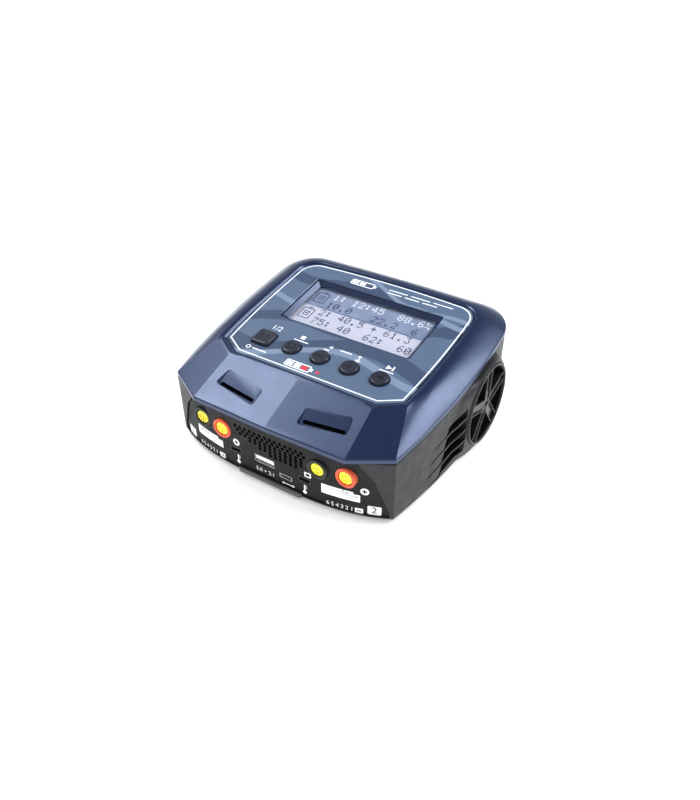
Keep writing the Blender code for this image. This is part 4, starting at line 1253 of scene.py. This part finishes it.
def spoke_shape(turn):
    """Channel-shaped spoke: two raised ribs, and between them a facet of the hub and a sunk floor."""
    spin = Matrix.Rotation(turn, 3, "Z")
    rings = []
    for radius, half, high, floor in SPOKE:
        rib = min(RIB, half * 0.3)
        side = [(half - rib - 0.25, floor), (half - rib, high), (half - 0.15, high), (half, high - 0.15),
                (half, SPOKE_BACK)]
        side = [(-across, z) for across, z in reversed(side)] + side
        rings.append([tuple(spin @ Vector((radius, across, z))) for across, z in side])
    return ring_loft(rings)


TEETH = 72
SPOKES = 5


def grille(name, side):
    ring = [(21.8, 71.4), (22.9, 71.4), (22.9, 76.6), (22.75, 76.9), (22.5, 77.0), (22.2, 77.0),
            (22.0, 76.85), (21.8, 76.5)]
    parts = [wheel_shape(turned(ring, 96, closed=True), side)]
    parts += [wheel_shape(spoke_shape(math.tau * (i + 0.25) / SPOKES), side) for i in range(SPOKES)]
    for i in range(TEETH):
        tooth = block((21.6, 0, 73.9), (0.9, 0.8, 3.6))
        tooth.transform(Matrix.Rotation(math.tau * i / TEETH, 4, "Z"))
        parts.append(wheel_shape(tooth, side))
    whole = merged(parts)
    stored(f"wheel_grille_{name}", whole, "grille_plastic", replaces=[f"fan_grille_{name}"], angle=20)
    honeycomb(name, side)


HEX_PITCH = 2.5
MESH_RADIUS = 20.9
MESH_LEVELS = (71.7, 72.4)


def honeycomb(name, side):
    """Fine hexagonal mesh behind the spokes, made of rings that share their walls."""
    span = int(MESH_RADIUS / HEX_PITCH) + 2
    outer, inner = (HEX_PITCH / math.sqrt(3) * share for share in (1.0, 0.78))
    low, high = MESH_LEVELS
    cells = []
    for row in range(-span, span + 1):
        for column in range(-span, span + 1):
            centre = ((column + 0.5 * (row % 2)) * HEX_PITCH, row * HEX_PITCH * math.sqrt(3) / 2)
            if math.hypot(*centre) > MESH_RADIUS:
                continue
            rings = [raised(polygon(6, radius, math.pi / 6, centre), z)
                     for radius, z in ((outer, low), (outer, high), (inner, high), (inner, low))]
            cells.append(ring_loft(rings, closed=True))
    whole = wheel_shape(merged(cells), side)
    stored(f"honeycomb_{name}", whole, "mesh_plastic", replaces=[f"grille_mesh_{name}"])


# ---------------------------------------------------------------- kept parts


def kept_parts():
    """Parts whose shape stays: each gets its surface, and eased edges where they show."""
    eased = ("rear_panel", "mains_inlet", "dc_inlet", "mains_pin", "case_screw", "transformer")
    slots = {part["node"]: part["material_slot"] for part in frame["record"]["subparts"]}
    for name, node in NODES.items():
        if node.hide_render:
            continue
        node.data.materials.clear()
        node.data.materials.append(SURFACES[slots[name]])
        weld = node.modifiers.new("Weld", "WELD")
        weld.merge_threshold = 1e-6
        if name.startswith(eased):
            softened(node, 0.15, 2, 40)


# ---------------------------------------------------------------- studio


def studio():
    bm = bmesh.new()
    bmesh.ops.create_grid(bm, x_segments=1, y_segments=1, size=6000)
    ground = stored("floor", bm)
    s = Shader("floor", (0.86, 0.86, 0.86), 0.9)
    s.colour(s.mix(s.ramp(s.noise(60.0), 0.3, 0.7), (0.87, 0.87, 0.87), (0.89, 0.89, 0.89)))
    s.set(s.out, Emission_Color=(1, 1, 1, 1), Emission_Strength=0.22)
    ground.data.materials.append(s.material)

    camera_data = bpy.data.cameras.new("camera")
    camera_data.lens = 34.12
    camera_data.sensor_width = 36.0
    camera_data.clip_start = 0.01
    camera = bpy.data.objects.new("camera", camera_data)
    camera.location = (0.18688, -0.28566, 0.26890)
    aim = Vector((0.01689, -0.01723, 0.0305)) - camera.location
    camera.rotation_euler = aim.to_track_quat("-Z", "Y").to_euler()
    bpy.context.scene.collection.objects.link(camera)
    bpy.context.scene.camera = camera

    # Name, direction from the object, distance, width and length in metres, radiance.
    for name, toward, distance, size, radiance in (
        ("left_softbox", (-0.62, 0.045, 0.78), 1.1, (0.48, 0.38), 8.6),
        ("right_softbox", (0.6, 0.42, 0.68), 1.1, (0.52, 0.62), 7.0),
        ("front_fill", (0.1, -0.9, 0.4), 1.2, (0.9, 0.4), 1.4),
    ):
        where = Vector((0, -0.02, 0.045)) + Vector(toward).normalized() * distance
        power = math.pi * size[0] * size[1] * radiance
        light = bpy.data.lights.new(name, "AREA")
        light.shape = "RECTANGLE"
        light.size, light.size_y = size
        light.color = (0.88, 0.93, 1.0)
        light.energy = power
        lamp = bpy.data.objects.new(name, light)
        lamp.location = where
        lamp.rotation_euler = (-Vector(toward)).to_track_quat("-Z", "Y").to_euler()
        lamp.visible_camera = False
        bpy.context.scene.collection.objects.link(lamp)

    world = bpy.data.worlds.new("studio")
    world.use_nodes = True
    tree = world.node_tree
    background = tree.nodes["Background"]
    rays = tree.nodes.new("ShaderNodeLightPath")
    place = tree.nodes.new("ShaderNodeTexCoord")
    parts = tree.nodes.new("ShaderNodeSeparateXYZ")
    room = tree.nodes.new("ShaderNodeMapRange")
    strength = tree.nodes.new("ShaderNodeMix")
    # Glossy rays meet a dimmer room, darkest overhead, as between the softboxes of a studio.
    for socket, number in zip(room.inputs[1:], (0.1, 0.9, 0.5, 0.03)):
        socket.default_value = number
    strength.inputs[2].default_value = 1.0
    tree.links.new(place.outputs["Generated"], parts.inputs[0])
    tree.links.new(parts.outputs["Z"], room.inputs[0])
    tree.links.new(rays.outputs["Is Glossy Ray"], strength.inputs[0])
    tree.links.new(room.outputs[0], strength.inputs[3])
    tree.links.new(strength.outputs[0], background.inputs["Strength"])
    background.inputs["Color"].default_value = (1, 1, 1, 1)
    bpy.context.scene.world = world
    bpy.context.scene.view_settings.view_transform = "Standard"


for startup_object in [o for o in bpy.data.objects if o.name in ("Cube", "Light", "Camera")]:
    bpy.data.objects.remove(startup_object)

cover()
film()
buttons()
display()
fascia()
banana_sockets()
balance_headers()
usb_ports()
base()
grille("right", 1)
grille("left", -1)
kept_parts()
studio()
